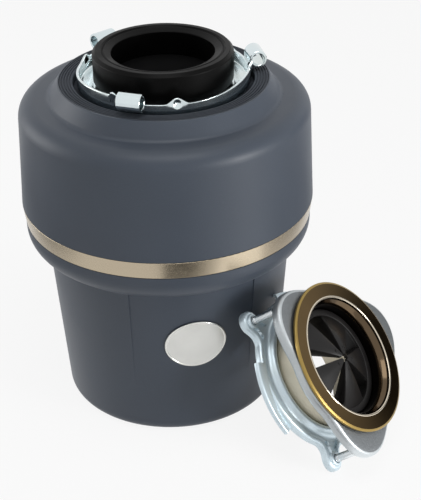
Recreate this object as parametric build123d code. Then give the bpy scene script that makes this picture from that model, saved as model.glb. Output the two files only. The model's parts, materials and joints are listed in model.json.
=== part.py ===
from build123d import *
import math
import os

# Kitchen garbage disposal with its sink mount leaning beside it.
# Millimetres. The unit stands on z = 0 round the Z axis, its badge towards -Y.

# Casing, plastic
casing_wall = 2.8
foot_room = 15.2
foot_round = 9.0
casing_taper = 9.8
waist_blend = 5.0
flare_overhang = 15.6
flare_height = 23.0
flare_rise = 5.8
flare_round = 18.0
spigot_step = 2.0
band_height = 14.1
band_gap = 0.35
band_lean = 1.9
shoulder_lean = 3.0
shoulder_round = 12.5
shoulder_drop = 3.0
crease_ledge = 7.9
crease_drop = 1.8
crease_round = 4.0
collar_lip = 1.0
collar_rise = 10.4
collar_round = 0.5
seat_gap = 0.3

# Flat panel in the front of the lower housing, and the oval plate on it
panel_start = -109.8
panel_angle = 61.3
panel_depth = 0.9
panel_foot = 45.0
badge_angle = -79.1
badge_height = 83.5
badge_width = 46.0
badge_tall = 41.0
badge_thick = 1.4
skin_gap = 0.05

# Motor and its frames
frame_radius = 68.0
frame_wall = 4.0
frame_foot = 3.2
frame_floor = 3.0
lower_bay = 29.0
stator_length = 42.0
core_depth = 31.0
air_gap = 0.4
upper_bay = 16.0
shaft_radius = 6.35
shaft_end = 1.0
shaft_tip = 1.0
socket_flats = 6.4
socket_depth = 8.0
run_clear = 0.05
lower_bush_radius = 10.0
upper_bush_radius = 11.0
bush_length = 16.0
bush_shoulder = 2.0
boss_wall = 7.0
winding_lip = 5.0
winding_gap = 4.0
winding_reach = 10.0
bolt_inset = 8.0
bolt_radius = 2.2
bolt_head_radius = 3.6
bolt_head_height = 2.6
bolt_count = 4

# Waste chamber and discharge outlet
chamber_floor = 4.0
chamber_depth = 52.0
chamber_bore = 70.0
chamber_wall = 6.0
joint_rim = 12.0
joint_thick = 4.0
seal_radius = 14.0
seal_length = 8.0
outlet_bore = 17.0
outlet_wall = 4.0
outlet_lift = 4.0
outlet_stand = 15.0
outlet_flange_width = 76.0
outlet_flange_tall = 44.0
outlet_flange_thick = 8.0
outlet_flange_round = 14.0
outlet_bolt_spacing = 58.0
outlet_bolt_hole = 2.5
window_clear = 2.0

# Grinding parts
gasket_thick = 1.5
gasket_width = 5.0
ring_wall = 6.0
ring_height = 28.0
ring_teeth = 24
tooth_width = 5.0
tooth_depth = 2.5
tooth_height = 12.0
table_gap = 1.0
table_thick = 3.0
table_lift = 2.0
hub_radius = 14.0
hub_length = 12.0
drain_holes = 10
drain_hole_radius = 3.0
drain_circle = 30.0
nut_flats = 19.0
nut_height = 7.0
impeller_inset = 23.7
impeller_reach = 23.3
impeller_eye = 9.0
impeller_width = 15.0
impeller_thick = 4.0
impeller_toe = 9.0
toe_height = 12.0
pin_radius = 4.0
pin_head = 7.0
pin_head_height = 2.5

# Hopper, neck and their rubber
hopper_wall = 3.0
hopper_height = 96.5
hopper_straight = 58.0
hopper_flange = 3.0
throat_radius = 40.6
throat_wall = 2.4
throat_rise = 12.0
ring_seat_radius = 76.5
joint_screw_inset = 4.0
joint_screw_radius = 2.0
joint_screw_head = 3.4
joint_screw_head_height = 2.8
joint_screws = 6
jacket_gap = 2.8
inlet_angle = 130.0
inlet_lift = 38.0
inlet_radius = 10.5
inlet_bore = 8.0
inlet_spigot_radius = 11.1
inlet_spigot = 20.0
inlet_stop_radius = 13.5
inlet_stop = 2.5
inlet_clear = 0.5
plug_thick = 2.0
neck_height = 33.0
neck_radius = 51.4
neck_bevel = 2.3
neck_mouth = 37.7
neck_groove_radius = 44.2
neck_groove = 1.3
neck_waist = 48.3
neck_foot_radius = 56.0
neck_foot = 3.0
neck_waist_rise = 9.0
neck_edge_round = 0.8
neck_groove_round = 0.4
recess_lip = 9.9
recess_floor = 3.2
ring_edge_round = 0.8
ripple_count = 4
ripple_inset = 1.5
ripple_pitch = 2.0
ripple_width = 0.8
ripple_depth = 0.7

# Lower mounting ring, plated steel
ring_sheet = 2.0
recess_gap = 3.1
ring_rise = 13.0
ring_bend = 4.5
ring_play = 0.4
lug_count = 3
lug_angle = -110.0
lug_outer = 6.5
lug_bore = 4.2
lug_length = 20.0
lug_sink = 1.0
lug_lift = 16.2
crimp_turn = 28.0
crimp_width = 9.0
crimp_rise = 4.6

# Electrical parts under the motor
cover_width = 52.0
cover_depth = 34.0
cover_thick = 1.6
cover_inset = 30.0
conduit_radius = 11.1
cover_screw_spacing = 42.0
cover_screw_radius = 1.8
cover_screw_head = 3.2
cover_screw_head_height = 1.6
button_inset = 28.0
button_radius = 4.0
button_proud = 3.0
button_collar = 5.4
button_collar_height = 1.5
button_round = 0.8
button_travel = 3.0
overload_size = 18.0
overload_height = 15.0
switch_length = 30.0
switch_width = 16.0
switch_height = 13.0
switch_inset = 28.0

# Sink mount: sizes along its own axis are depths below the flange face
lean_azimuth = -28.16
lean_elevation = 38.43
mount_bearing = -36.97
mount_stand = 69.96
flange_radius = 58.4
flange_edge = 2.6
flange_sheet = 1.5
mouth_radius = 46.4
tail_bore = 42.3
tail_length = 54.0
funnel_depth = 6.0
fibre_outer = 55.5
fibre_thick = 1.6
backup_body = 59.5
backup_lobe = 77.0
backup_lobe_round = 27.0
backup_shift = 4.0
backup_thick = 8.6
backup_round = 2.6
backup_play = 0.3
mount_sheet = 2.2
mount_bead_outer = 50.5
mount_bead_rise = 5.3
mount_web_depth = 35.8
mount_rim_radius = 61.6
mount_rim_lip = 2.4
mount_rim_skirt = 6.4
mount_play = 0.5
screw_count = 3
screw_circle = 68.6
screw_angle = -37.0
screw_radius = 3.0
screw_head_radius = 6.0
screw_head_height = 3.6
screw_slot = 1.2
screw_tail = 3.0
screw_clear = 0.35
thread_pitch = 1.6
thread_depth = 0.35
thread_turns = 4
ear_radius = 8.8
ear_wall = 3.2
ear_boss = 5.4
ear_boss_height = 2.4
ramp_radius = 64.4
ramp_angle = 51.0
ramp_turn = -66.5
ramp_slope = 5.4
clip_wire = 1.4
clip_gap_angle = 24.0
clip_bite = 0.7
baffle_gap = 0.4
baffle_wall = 2.2
baffle_top = 14.0
baffle_length = 16.0
baffle_eye = 36.5
fin_count = 5
fin_angle = 37.0
fin_first = -162.0
fin_thick = 1.6
fin_tip = 4.0
fin_tip_depth = 5.5
fin_dimple = 1.3
fin_dimple_place = 9.0

# Radii that follow from the motor and from the seat of the vibration ring
base_opening = frame_radius - frame_wall
foot_radius = frame_radius + foot_room
waist_radius = foot_radius + casing_taper
flare_radius = waist_radius + flare_overhang
brow_radius = flare_radius + band_lean
shoulder_radius = brow_radius - shoulder_lean
collar_radius = ring_seat_radius + seat_gap + collar_lip
crease_radius = collar_radius + crease_ledge
recess_radius = ring_seat_radius - recess_lip
ring_radius = recess_radius - recess_gap
bolt_circle = frame_radius - bolt_inset
winding_outer = bolt_circle - winding_gap
stator_bore = frame_radius - core_depth
winding_inner = stator_bore + winding_lip
outlet_reach = waist_radius + outlet_stand
cover_place = cover_inset - frame_radius
button_place = frame_radius - button_inset
switch_place = switch_inset - frame_radius
mount_x = (waist_radius + mount_stand) * math.cos(math.radians(mount_bearing))
mount_y = (waist_radius + mount_stand) * math.sin(math.radians(mount_bearing))
mount_bead_depth = mount_web_depth - mount_bead_rise
mount_rim_front = mount_web_depth - mount_rim_lip
mount_rim_back = mount_web_depth + mount_rim_skirt

# Heights of the stack, from the ground up
frame_floor_low = casing_wall + frame_foot
frame_floor_top = frame_floor_low + frame_floor
stator_low = frame_floor_top + lower_bay
stator_top = stator_low + stator_length
chamber_low = stator_top + upper_bay
chamber_base = chamber_low + chamber_floor
joint_face = chamber_base + chamber_depth
hopper_low = joint_face + gasket_thick
hopper_top = hopper_low + hopper_height
table_low = joint_face + table_lift
table_top = table_low + table_thick
outlet_height = chamber_base + outlet_bore + outlet_lift
flare_top = hopper_low - band_gap
waist_height = flare_top - flare_height
band_top = flare_top + band_height
shoulder_height = hopper_top - shoulder_drop
crease_height = hopper_top - crease_drop
collar_top = hopper_top + collar_rise
neck_top = hopper_top + neck_height
inlet_height = hopper_low + inlet_lift
spigot_radius = flare_radius - spigot_step
spigot_inner = spigot_radius - casing_wall
jacket_radius = spigot_inner - jacket_gap
spigot_top = band_top + casing_wall
hopper_radius = chamber_bore + hopper_wall
hopper_outer = hopper_radius + hopper_wall
joint_radius = hopper_outer + joint_rim
joint_screw_circle = joint_radius - joint_screw_inset
ring_outer = hopper_radius - seat_gap
ring_inner = ring_outer - ring_wall
table_radius = ring_inner - table_gap
impeller_circle = table_radius - impeller_inset
shaft_low = frame_floor_low + shaft_end
lower_bush_low = frame_floor_top + bush_shoulder
upper_bush_low = chamber_low - bush_shoulder
boss_top = table_low - hub_length - table_lift
tail_outer = tail_bore + flange_sheet
funnel_clear = mouth_radius + flange_sheet + mount_play
backup_bore = funnel_clear + backup_shift
backup_front = flange_edge + fibre_thick
backup_back = backup_front + backup_thick

BASE = (Align.CENTER, Align.CENTER, Align.MIN)
CUT = 1.0


def turned(points, arc=360.0, start=0.0):
    """Solid of revolution round Z from (radius, height, corner round) points."""
    places = [(p[0], p[1]) for p in points]
    rounds = [p[2] if len(p) > 2 else 0.0 for p in points]
    if any(rounds):
        outline = FilletPolyline(*places, radius=rounds, close=True)
    else:
        outline = Polyline(*places, close=True)
    face = Plane.XZ * make_face(outline)
    return Rot(0, 0, start) * revolve(face, Axis.Z, arc)


def rod(radius, low, high, x=0.0, y=0.0):
    return Pos(x, y, low) * Cylinder(radius, high - low, align=BASE)


def pipe(outer, inner, low, high):
    return rod(outer, low, high) - rod(inner, low - CUT, high + CUT)


def around(shape, count, start=0.0):
    """Copies of a shape spaced evenly round Z."""
    return [Rot(0, 0, start + i * 360.0 / count) * shape for i in range(count)]


def joined(shapes):
    total = shapes[0]
    for shape in shapes[1:]:
        total = total + shape
    return total


def without(shape, cutters):
    for cutter in cutters:
        shape = shape - cutter
    return shape


def group(shapes):
    return Compound(children=list(shapes))


def side_radius(height):
    """Outer radius of the lower housing's taper at a height."""
    return foot_radius + (waist_radius - foot_radius) * height / waist_height


def panel_radius(height):
    """Radius of the flat panel's floor, which fades out towards the foot."""
    fade = (height - panel_foot) / (waist_height - panel_foot)
    return side_radius(height) - panel_depth * fade


def lower_housing():
    inner_flare = flare_round - (flare_radius - spigot_inner) / 2
    inside = (waist_radius - casing_wall, waist_height + flare_rise / 2)
    shell = turned([
        (base_opening, 0),
        (foot_radius, 0, foot_round),
        (waist_radius, waist_height, waist_blend),
        (flare_radius, waist_height + flare_rise, flare_round),
        (flare_radius, flare_top),
        (spigot_radius, flare_top),
        (spigot_radius, spigot_top),
        (spigot_inner, spigot_top),
        (spigot_inner, inside[1] + flare_rise, inner_flare / 2),
        (inside[0], inside[1]),
        (foot_radius - casing_wall, casing_wall, foot_round - casing_wall),
        (base_opening, casing_wall),
    ])
    top = waist_height + panel_depth
    panel = turned([
        (side_radius(panel_foot), panel_foot),
        (panel_radius(top), top),
        (flare_radius, top),
        (flare_radius, panel_foot),
    ], panel_angle, panel_start)
    window = Pos(0, outlet_reach, outlet_height) * Box(
        outlet_flange_width + 2 * window_clear,
        outlet_reach,
        outlet_flange_tall + 2 * window_clear,
    )
    return shell - panel - window


def badge_plate():
    low = badge_height - badge_tall
    high = badge_height + badge_tall
    skin = turned([
        (panel_radius(low) + skin_gap, low),
        (panel_radius(high) + skin_gap, high),
        (panel_radius(high) + skin_gap + badge_thick, high),
        (panel_radius(low) + skin_gap + badge_thick, low),
    ])
    facing = Plane(
        origin=(0, 0, badge_height),
        x_dir=(0, 1, 0),
        z_dir=(1, 0, 0),
    )
    oval = extrude(facing * Ellipse(badge_width / 2, badge_tall / 2), waist_radius * 2)
    return skin & (Rot(0, 0, badge_angle) * oval)


def trim_band():
    low = flare_top + band_gap
    high = band_top - band_gap
    return turned([
        (spigot_radius + skin_gap, low),
        (flare_radius, low, band_gap),
        (brow_radius, high, band_gap),
        (spigot_radius + skin_gap, high),
    ])


def upper_shroud():
    slope = (crease_height - shoulder_height) / (shoulder_radius - crease_radius)
    opening = ring_seat_radius + seat_gap
    under = casing_wall * math.hypot(1, slope)
    shell = turned([
        (brow_radius, band_top),
        (shoulder_radius, shoulder_height, shoulder_round),
        (crease_radius, crease_height, crease_round),
        (collar_radius, collar_top, collar_round),
        (opening, collar_top),
        (opening, crease_height + (crease_radius - opening) * slope - under),
        (shoulder_radius - casing_wall, shoulder_height + casing_wall * slope - under,
         shoulder_round - casing_wall),
        (brow_radius - casing_wall, spigot_top + casing_wall),
        (spigot_inner, spigot_top + casing_wall),
        (spigot_inner, spigot_top),
        (brow_radius - casing_wall, spigot_top),
        (brow_radius - casing_wall, band_top),
    ])
    return shell - inlet_rod(inlet_radius + inlet_clear, hopper_outer, brow_radius + inlet_spigot)


def inlet_rod(radius, start, end):
    """Cylinder along the dishwasher inlet, from one distance off the axis to another."""
    bar = Pos(start, 0, inlet_height) * Rot(0, 90, 0) * Cylinder(radius, end - start, align=BASE)
    return Rot(0, 0, inlet_angle) * bar


def dishwasher_inlet():
    stop = brow_radius + inlet_clear
    spigot = stop + inlet_stop
    tip = spigot + inlet_spigot
    tube = inlet_rod(inlet_radius, hopper_radius, stop)
    tube = tube + inlet_rod(inlet_stop_radius, stop, spigot)
    tube = tube + inlet_rod(inlet_spigot_radius, spigot, tip)
    return tube - inlet_rod(inlet_bore, hopper_radius - CUT, tip + CUT)


def inlet_plug():
    return inlet_rod(inlet_bore - skin_gap, hopper_outer, hopper_outer + plug_thick)


def hopper():
    cone_low = hopper_low + hopper_straight
    plate = hopper_top - hopper_flange
    bowl = turned([
        (hopper_radius, hopper_low),
        (joint_radius, hopper_low),
        (joint_radius, hopper_low + joint_thick),
        (hopper_outer, hopper_low + joint_thick),
        (hopper_outer, cone_low),
        (throat_radius + hopper_wall * 2, plate),
        (ring_seat_radius, plate),
        (ring_seat_radius, hopper_top),
        (throat_radius + throat_wall, hopper_top),
        (throat_radius + throat_wall, hopper_top + throat_rise),
        (throat_radius, hopper_top + throat_rise),
        (throat_radius, plate),
        (hopper_radius, cone_low),
    ])
    hole = rod(joint_screw_radius + skin_gap, hopper_low - CUT, hopper_low + joint_thick + CUT,
               joint_screw_circle)
    bowl = without(bowl, around(hole, joint_screws))
    return bowl - inlet_rod(inlet_radius + skin_gap, throat_radius, joint_radius)


def sound_jacket():
    low = hopper_low + joint_thick + joint_screw_head_height + seat_gap
    inner = hopper_outer + seat_gap
    cone_low = hopper_low + hopper_straight
    jacket = pipe(jacket_radius, inner, low, cone_low)
    return jacket - inlet_rod(inlet_radius + inlet_clear, hopper_radius, brow_radius)


def hopper_gasket():
    inner = hopper_radius + gasket_width / 2
    return pipe(inner + gasket_width, inner, joint_face, hopper_low)


def hopper_screws():
    seat = hopper_low + joint_thick
    low = joint_face - joint_thick
    shank = rod(joint_screw_radius, low, seat, joint_screw_circle)
    head = rod(joint_screw_head, seat, seat + joint_screw_head_height, joint_screw_circle)
    return group(around(shank + head, joint_screws))


def grind_ring():
    low = joint_face + skin_gap
    body = pipe(ring_outer, ring_inner, low, low + ring_height)
    notch = Pos(ring_inner, 0, low + tooth_height / 2) * Box(
        2 * tooth_depth, tooth_width, tooth_height + CUT)
    return without(body, around(notch, ring_teeth))


def turntable():
    plate = rod(table_radius, table_low, table_top)
    hub = rod(hub_radius, table_low - hub_length, table_low)
    hole = rod(drain_hole_radius, table_low - CUT, table_top + CUT, drain_circle)
    pin_hole = rod(pin_radius + skin_gap, table_low - CUT, table_top + CUT, impeller_circle)
    bore = rod(shaft_radius + skin_gap, table_low - hub_length - CUT, table_top + CUT)
    start = 180.0 / drain_holes
    return without(plate + hub, around(hole, drain_holes, start) + around(pin_hole, 2) + [bore])


def turntable_nut():
    body = Pos(0, 0, table_top) * extrude(RegularPolygon(nut_flats / math.sqrt(3), 6), nut_height)
    return body - rod(shaft_radius + skin_gap, table_low, table_top + nut_height + CUT)


def impeller(side):
    """Swivel impeller, its eye on a pin at one side of the turntable."""
    low = table_top + seat_gap
    eye = rod(impeller_eye, low, low + impeller_thick)
    reach = math.sqrt(impeller_reach ** 2 - (impeller_width / 2) ** 2)
    arm = Pos(0, reach / 2, low) * Box(impeller_width, reach, impeller_thick, align=BASE)
    toe = Box(impeller_width, impeller_toe, toe_height, align=BASE)
    toe = Pos(0, reach - impeller_toe / 2, low) * toe
    bore = rod(pin_radius + run_clear, low - CUT, low + impeller_thick + CUT)
    return Rot(0, 0, side) * Pos(impeller_circle, 0, 0) * (eye + arm + toe - bore)


def impeller_pins():
    seat = table_top + 2 * seat_gap + impeller_thick
    shank = rod(pin_radius, table_low, seat, impeller_circle)
    head = rod(pin_head, seat, seat + pin_head_height, impeller_circle)
    return group(around(shank + head, 2))


def upper_end_frame():
    outer = chamber_bore + chamber_wall
    boss = upper_bush_radius + boss_wall
    seat_top = upper_bush_low + bush_length
    frame = turned([
        (frame_radius - frame_wall, stator_top),
        (frame_radius, stator_top),
        (frame_radius, chamber_low),
        (outer, chamber_low),
        (outer, joint_face - joint_thick),
        (joint_radius, joint_face - joint_thick),
        (joint_radius, joint_face),
        (chamber_bore, joint_face),
        (chamber_bore, chamber_base),
        (boss, chamber_base),
        (boss, boss_top),
        (seal_radius + skin_gap, boss_top),
        (seal_radius + skin_gap, boss_top - seal_length),
        (upper_bush_radius - bush_shoulder, boss_top - seal_length),
        (upper_bush_radius - bush_shoulder, seat_top),
        (upper_bush_radius + skin_gap, seat_top),
        (upper_bush_radius + skin_gap, upper_bush_low),
        (boss, upper_bush_low),
        (boss, chamber_low),
        (frame_radius - frame_wall, chamber_low),
    ])
    spout = Plane(origin=(0, 0, outlet_height), x_dir=(1, 0, 0), z_dir=(0, 1, 0))
    tube = extrude(spout * Circle(outlet_bore + outlet_wall), outlet_reach)
    plate = RectangleRounded(outlet_flange_width, outlet_flange_tall, outlet_flange_round)
    flange = extrude(spout * plate, outlet_flange_thick)
    flange = Pos(0, outlet_reach - outlet_flange_thick, 0) * flange
    frame = frame + (tube - rod(chamber_bore + chamber_wall / 2, 0, joint_face)) + flange
    way_out = extrude(spout * Circle(outlet_bore), outlet_reach + CUT)
    frame = frame - (way_out - rod(boss, 0, joint_face))
    bolt = spout * Pos(outlet_bolt_spacing / 2, 0) * Circle(outlet_bolt_hole)
    bolt = extrude(bolt, outlet_reach + CUT)
    bolt = bolt - rod(outlet_reach - outlet_flange_thick * 2, 0, joint_face)
    hole = rod(joint_screw_radius + skin_gap, joint_face - joint_thick - CUT, joint_face + CUT,
               joint_screw_circle)
    tie = rod(bolt_radius + skin_gap, chamber_low - CUT, chamber_low + chamber_floor / 2, bolt_circle)
    cutters = [bolt, mirror(bolt, Plane.YZ)] + around(hole, joint_screws) + tie_places(tie)
    return without(frame, cutters)


def tie_places(shape):
    return around(shape, bolt_count, 180.0 / bolt_count)


def shaft_seal():
    return pipe(seal_radius, shaft_radius + run_clear, boss_top - seal_length, boss_top)


def upper_bearing():
    bore = shaft_radius + run_clear
    return pipe(upper_bush_radius, bore, upper_bush_low, upper_bush_low + bush_length)


def lower_bearing():
    bore = shaft_radius + run_clear
    return pipe(lower_bush_radius, bore, lower_bush_low, lower_bush_low + bush_length)


def motor_shaft():
    body = rod(shaft_radius, shaft_low, table_top + nut_height + shaft_tip)
    socket = extrude(RegularPolygon(socket_flats / math.sqrt(3), 6), socket_depth)
    return body - Pos(0, 0, shaft_low) * socket


def rotor():
    return pipe(stator_bore - air_gap, shaft_radius + skin_gap, stator_low, stator_top)


def stator_core():
    core = pipe(frame_radius, stator_bore, stator_low, stator_top)
    tie = rod(bolt_radius + skin_gap, stator_low - CUT, stator_top + CUT, bolt_circle)
    return without(core, tie_places(tie))


def stator_windings():
    middle = (winding_outer - winding_inner) / 4
    ends = []
    for low in (stator_low - winding_reach, stator_top):
        high = low + winding_reach
        ends.append(turned([
            (winding_inner, low, middle),
            (winding_outer, low, middle),
            (winding_outer, high, middle),
            (winding_inner, high, middle),
        ]))
    return group(ends)


def lower_end_frame():
    boss = lower_bush_radius + boss_wall
    frame = turned([
        (frame_radius - frame_wall, casing_wall),
        (frame_radius, casing_wall),
        (frame_radius, stator_low),
        (frame_radius - frame_wall, stator_low),
        (frame_radius - frame_wall, frame_floor_top),
        (boss, frame_floor_top),
        (boss, lower_bush_low + bush_length),
        (lower_bush_radius + skin_gap, lower_bush_low + bush_length),
        (lower_bush_radius + skin_gap, lower_bush_low),
        (lower_bush_radius - bush_shoulder, lower_bush_low),
        (lower_bush_radius - bush_shoulder, frame_floor_low),
        (frame_radius - frame_wall, frame_floor_low),
    ])
    low = frame_floor_low - CUT
    high = frame_floor_top + CUT
    cutters = [
        rod(conduit_radius + window_clear, low, high, 0, cover_place),
        rod(button_radius + seat_gap, low, high, 0, button_place),
    ]
    cutters += cover_screw_rods(cover_screw_radius + skin_gap, low, high)
    tie = rod(bolt_radius + skin_gap, low, high, bolt_circle)
    return without(frame, cutters + tie_places(tie))


def through_bolts():
    top = chamber_low + chamber_floor / 2 - skin_gap
    shank = rod(bolt_radius, frame_floor_low, top, bolt_circle)
    head = rod(bolt_head_radius, frame_floor_low - bolt_head_height, frame_floor_low, bolt_circle)
    return group(tie_places(shank + head))


def cover_screw_rods(radius, low, high):
    y = cover_place + cover_depth / 4
    return [rod(radius, low, high, side * cover_screw_spacing / 2, y) for side in (-1, 1)]


def terminal_cover():
    low = frame_floor_low - cover_thick
    plate = extrude(RectangleRounded(cover_width, cover_depth, bolt_head_radius), cover_thick)
    plate = Pos(0, cover_place, low) * plate
    holes = cover_screw_rods(cover_screw_radius + skin_gap, low - CUT, frame_floor_low + CUT)
    holes.append(rod(conduit_radius, low - CUT, frame_floor_low + CUT, 0, cover_place))
    return without(plate, holes)


def cover_screws():
    seat = frame_floor_low - cover_thick
    shanks = cover_screw_rods(cover_screw_radius, seat, frame_floor_top)
    heads = cover_screw_rods(cover_screw_head, seat - cover_screw_head_height, seat)
    return group([shank + head for shank, head in zip(shanks, heads)])


def overload_protector():
    body = Pos(0, button_place, frame_floor_top) * Box(
        overload_size, overload_size, overload_height, align=BASE)
    pocket = frame_floor_top + 2 * seat_gap + button_collar_height + button_travel
    return body - rod(button_collar + seat_gap, frame_floor_top - CUT, pocket, 0, button_place)


def reset_button():
    seat = frame_floor_top + seat_gap
    stem = rod(button_radius, frame_floor_low - button_proud, seat, 0, button_place)
    stem = fillet(stem.edges().sort_by(Axis.Z)[0], button_round)
    return stem + rod(button_collar, seat, seat + button_collar_height, 0, button_place)


def start_switch():
    return Pos(switch_place, 0, frame_floor_top) * Box(
        switch_width, switch_length, switch_height, align=BASE)


def mounting_neck():
    groove = neck_top - neck_groove
    return turned([
        (throat_radius + throat_wall + skin_gap, hopper_top),
        (neck_foot_radius, hopper_top),
        (neck_foot_radius, hopper_top + neck_foot),
        (neck_waist, hopper_top + neck_foot),
        (neck_waist, hopper_top + neck_waist_rise, neck_bevel),
        (neck_radius, hopper_top + neck_waist_rise + neck_bevel),
        (neck_radius, neck_top - neck_bevel, neck_edge_round),
        (neck_radius - neck_bevel, neck_top, neck_edge_round),
        (neck_groove_radius + neck_groove, neck_top, neck_groove_round),
        (neck_groove_radius, groove),
        (neck_groove_radius - neck_groove, groove + neck_groove / 2, neck_groove_round),
        (neck_mouth, neck_top - 2 * neck_groove, neck_edge_round),
        (neck_mouth, hopper_top + throat_rise + seat_gap),
        (throat_radius + throat_wall + skin_gap, hopper_top + throat_rise + seat_gap),
    ])


def vibration_ring():
    ring = turned([
        (neck_foot_radius + seat_gap, hopper_top),
        (ring_seat_radius, hopper_top),
        (ring_seat_radius, collar_top, ring_edge_round),
        (recess_radius, collar_top, ring_edge_round),
        (recess_radius, hopper_top + recess_floor),
        (neck_foot_radius + seat_gap, hopper_top + recess_floor),
    ])
    ripples = []
    for i in range(ripple_count):
        radius = ring_seat_radius - ripple_inset - ripple_pitch * i
        low = collar_top - ripple_depth
        ripples.append(pipe(radius, radius - ripple_width, low, collar_top + CUT))
    return without(ring, ripples)


def lower_mounting_ring():
    low = hopper_top + recess_floor + ring_play
    high = low + ring_rise
    inner = neck_waist + ring_play
    ring = turned([
        (inner, low),
        (ring_radius, low, ring_bend),
        (ring_radius, high),
        (ring_radius - ring_sheet, high),
        (ring_radius - ring_sheet, low + ring_sheet, ring_bend - ring_sheet),
        (inner, low + ring_sheet),
    ])
    centre = ring_radius + lug_outer - lug_sink
    height = low + lug_lift
    flat = ring_radius - ring_sheet
    across = Pos(centre, 0, height) * Rot(90, 0, 0)
    wrap = rod(ring_radius - ring_sheet / 2, low - CUT, height + lug_lift)
    tab = Box(centre - flat, lug_length - ring_sheet, ring_sheet,
              align=(Align.MIN, Align.CENTER, Align.MIN))
    tab = Pos(flat, 0, height - lug_outer) * tab - wrap
    tube = across * Cylinder(lug_outer, lug_length) - wrap
    bore = across * Cylinder(lug_bore, lug_length + 2 * CUT)
    crimp = Polyline((-crimp_width / 2, -CUT), (0, crimp_rise), (crimp_width / 2, -CUT), close=True)
    crimp = Plane(origin=(0, 0, high), x_dir=(0, 1, 0), z_dir=(1, 0, 0)) * make_face(crimp)
    crimp = extrude(crimp, 2 * ring_radius) & pipe(ring_radius, flat, low, high + lug_lift)
    ring = joined([ring] + around(tube, lug_count, lug_angle) + around(tab, lug_count, lug_angle))
    ring = without(ring, around(bore, lug_count, lug_angle))
    return joined([ring] + around(crimp, lug_count, lug_angle + crimp_turn))


def sink_flange():
    edge = flange_edge / 2
    return turned([
        (mouth_radius, 0, edge),
        (flange_radius, 0, edge / 2),
        (flange_radius, -flange_edge),
        (flange_radius - flange_sheet, -flange_edge),
        (flange_radius - flange_sheet, -flange_sheet),
        (mouth_radius + flange_sheet, -flange_sheet),
        (tail_outer, -funnel_depth),
        (tail_outer, clip_height() + clip_wire),
        (tail_outer - clip_bite, clip_height() + clip_wire),
        (tail_outer - clip_bite, clip_height() - clip_wire),
        (tail_outer, clip_height() - clip_wire),
        (tail_outer, -tail_length),
        (tail_bore, -tail_length),
        (tail_bore, -funnel_depth, funnel_depth),
    ])


def clip_height():
    """Level of the snap ring, just behind the upper mounting ring's bead."""
    return -(mount_web_depth + 2 * mount_sheet + seat_gap + clip_wire)


def fibre_gasket():
    return pipe(fibre_outer, funnel_clear, -backup_front, -flange_sheet - seat_gap)


def backup_flange():
    disc = Pos(backup_lobe - backup_lobe_round, 0) * Circle(backup_lobe_round)
    outline = make_hull(joined([Circle(backup_body)] + around(disc, screw_count, screw_angle)).edges())
    body = Pos(0, 0, -backup_back) * extrude(outline, backup_thick)
    rims = body.edges().group_by(Axis.Z)
    body = fillet(rims[0] + rims[-1], backup_round)
    body = body - rod(backup_bore, -backup_back - CUT, 0)
    aside = math.radians(screw_angle + 360.0 / screw_count)
    return Pos(backup_shift * math.cos(aside), backup_shift * math.sin(aside), 0) * body


def ear_outline(inset):
    """Plan of one ear of the upper mounting ring, rounded at the screw."""
    half = ear_radius - inset
    arm = Rectangle(screw_circle - mount_bead_outer, 2 * half)
    arm = Pos((screw_circle + mount_bead_outer) / 2, 0) * arm
    return arm + Pos(screw_circle, 0) * Circle(half)


def upper_mounting_ring():
    inner = tail_outer + mount_play
    web_back = -mount_web_depth - mount_sheet
    rim_inner = mount_rim_radius - mount_sheet
    ring = turned([
        (inner, web_back - mount_sheet),
        (inner, -mount_bead_depth, mount_sheet),
        (mount_bead_outer, -mount_bead_depth, mount_sheet),
        (mount_bead_outer, -mount_web_depth),
        (rim_inner, -mount_web_depth),
        (rim_inner, -mount_rim_front),
        (mount_rim_radius, -mount_rim_front),
        (mount_rim_radius, -mount_rim_back),
        (rim_inner, -mount_rim_back),
        (rim_inner, web_back),
        (mount_bead_outer - mount_sheet, web_back),
        (mount_bead_outer - mount_sheet, web_back - mount_sheet),
    ])
    plate = Pos(0, 0, web_back) * extrude(ear_outline(0), mount_sheet)
    wall = extrude(ear_outline(0) - ear_outline(mount_sheet), ear_wall)
    within = rod(mount_rim_radius - mount_sheet / 2, -tail_length, 0)
    wall = Pos(0, 0, web_back - ear_wall) * wall - within
    boss = rod(ear_boss, -mount_web_depth, -mount_web_depth + ear_boss_height, screw_circle)
    gap = extrude(ear_outline(mount_sheet), mount_web_depth - mount_rim_front)
    gap = Pos(0, 0, -mount_web_depth) * gap
    ramp = turned([
        (rim_inner, -mount_web_depth),
        (ramp_radius, -mount_web_depth),
        (ramp_radius, web_back),
        (rim_inner, web_back),
    ], ramp_angle, -ramp_angle / 2)
    middle = Pos(0, 0, -mount_web_depth)
    ramp = middle * Rot(ramp_slope, 0, 0) * middle.inverse() * ramp
    ramp = ramp - within
    ring = without(ring, around(gap - boss, screw_count, screw_angle))
    for piece in (plate, wall, boss):
        ring = joined([ring] + around(piece, screw_count, screw_angle))
    ring = joined([ring] + around(ramp, screw_count, screw_angle + ramp_turn))
    hole = rod(screw_radius + screw_clear, -tail_length, 0, screw_circle)
    return without(ring, around(hole, screw_count, screw_angle) + [rod(inner, -tail_length, 0)])


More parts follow.
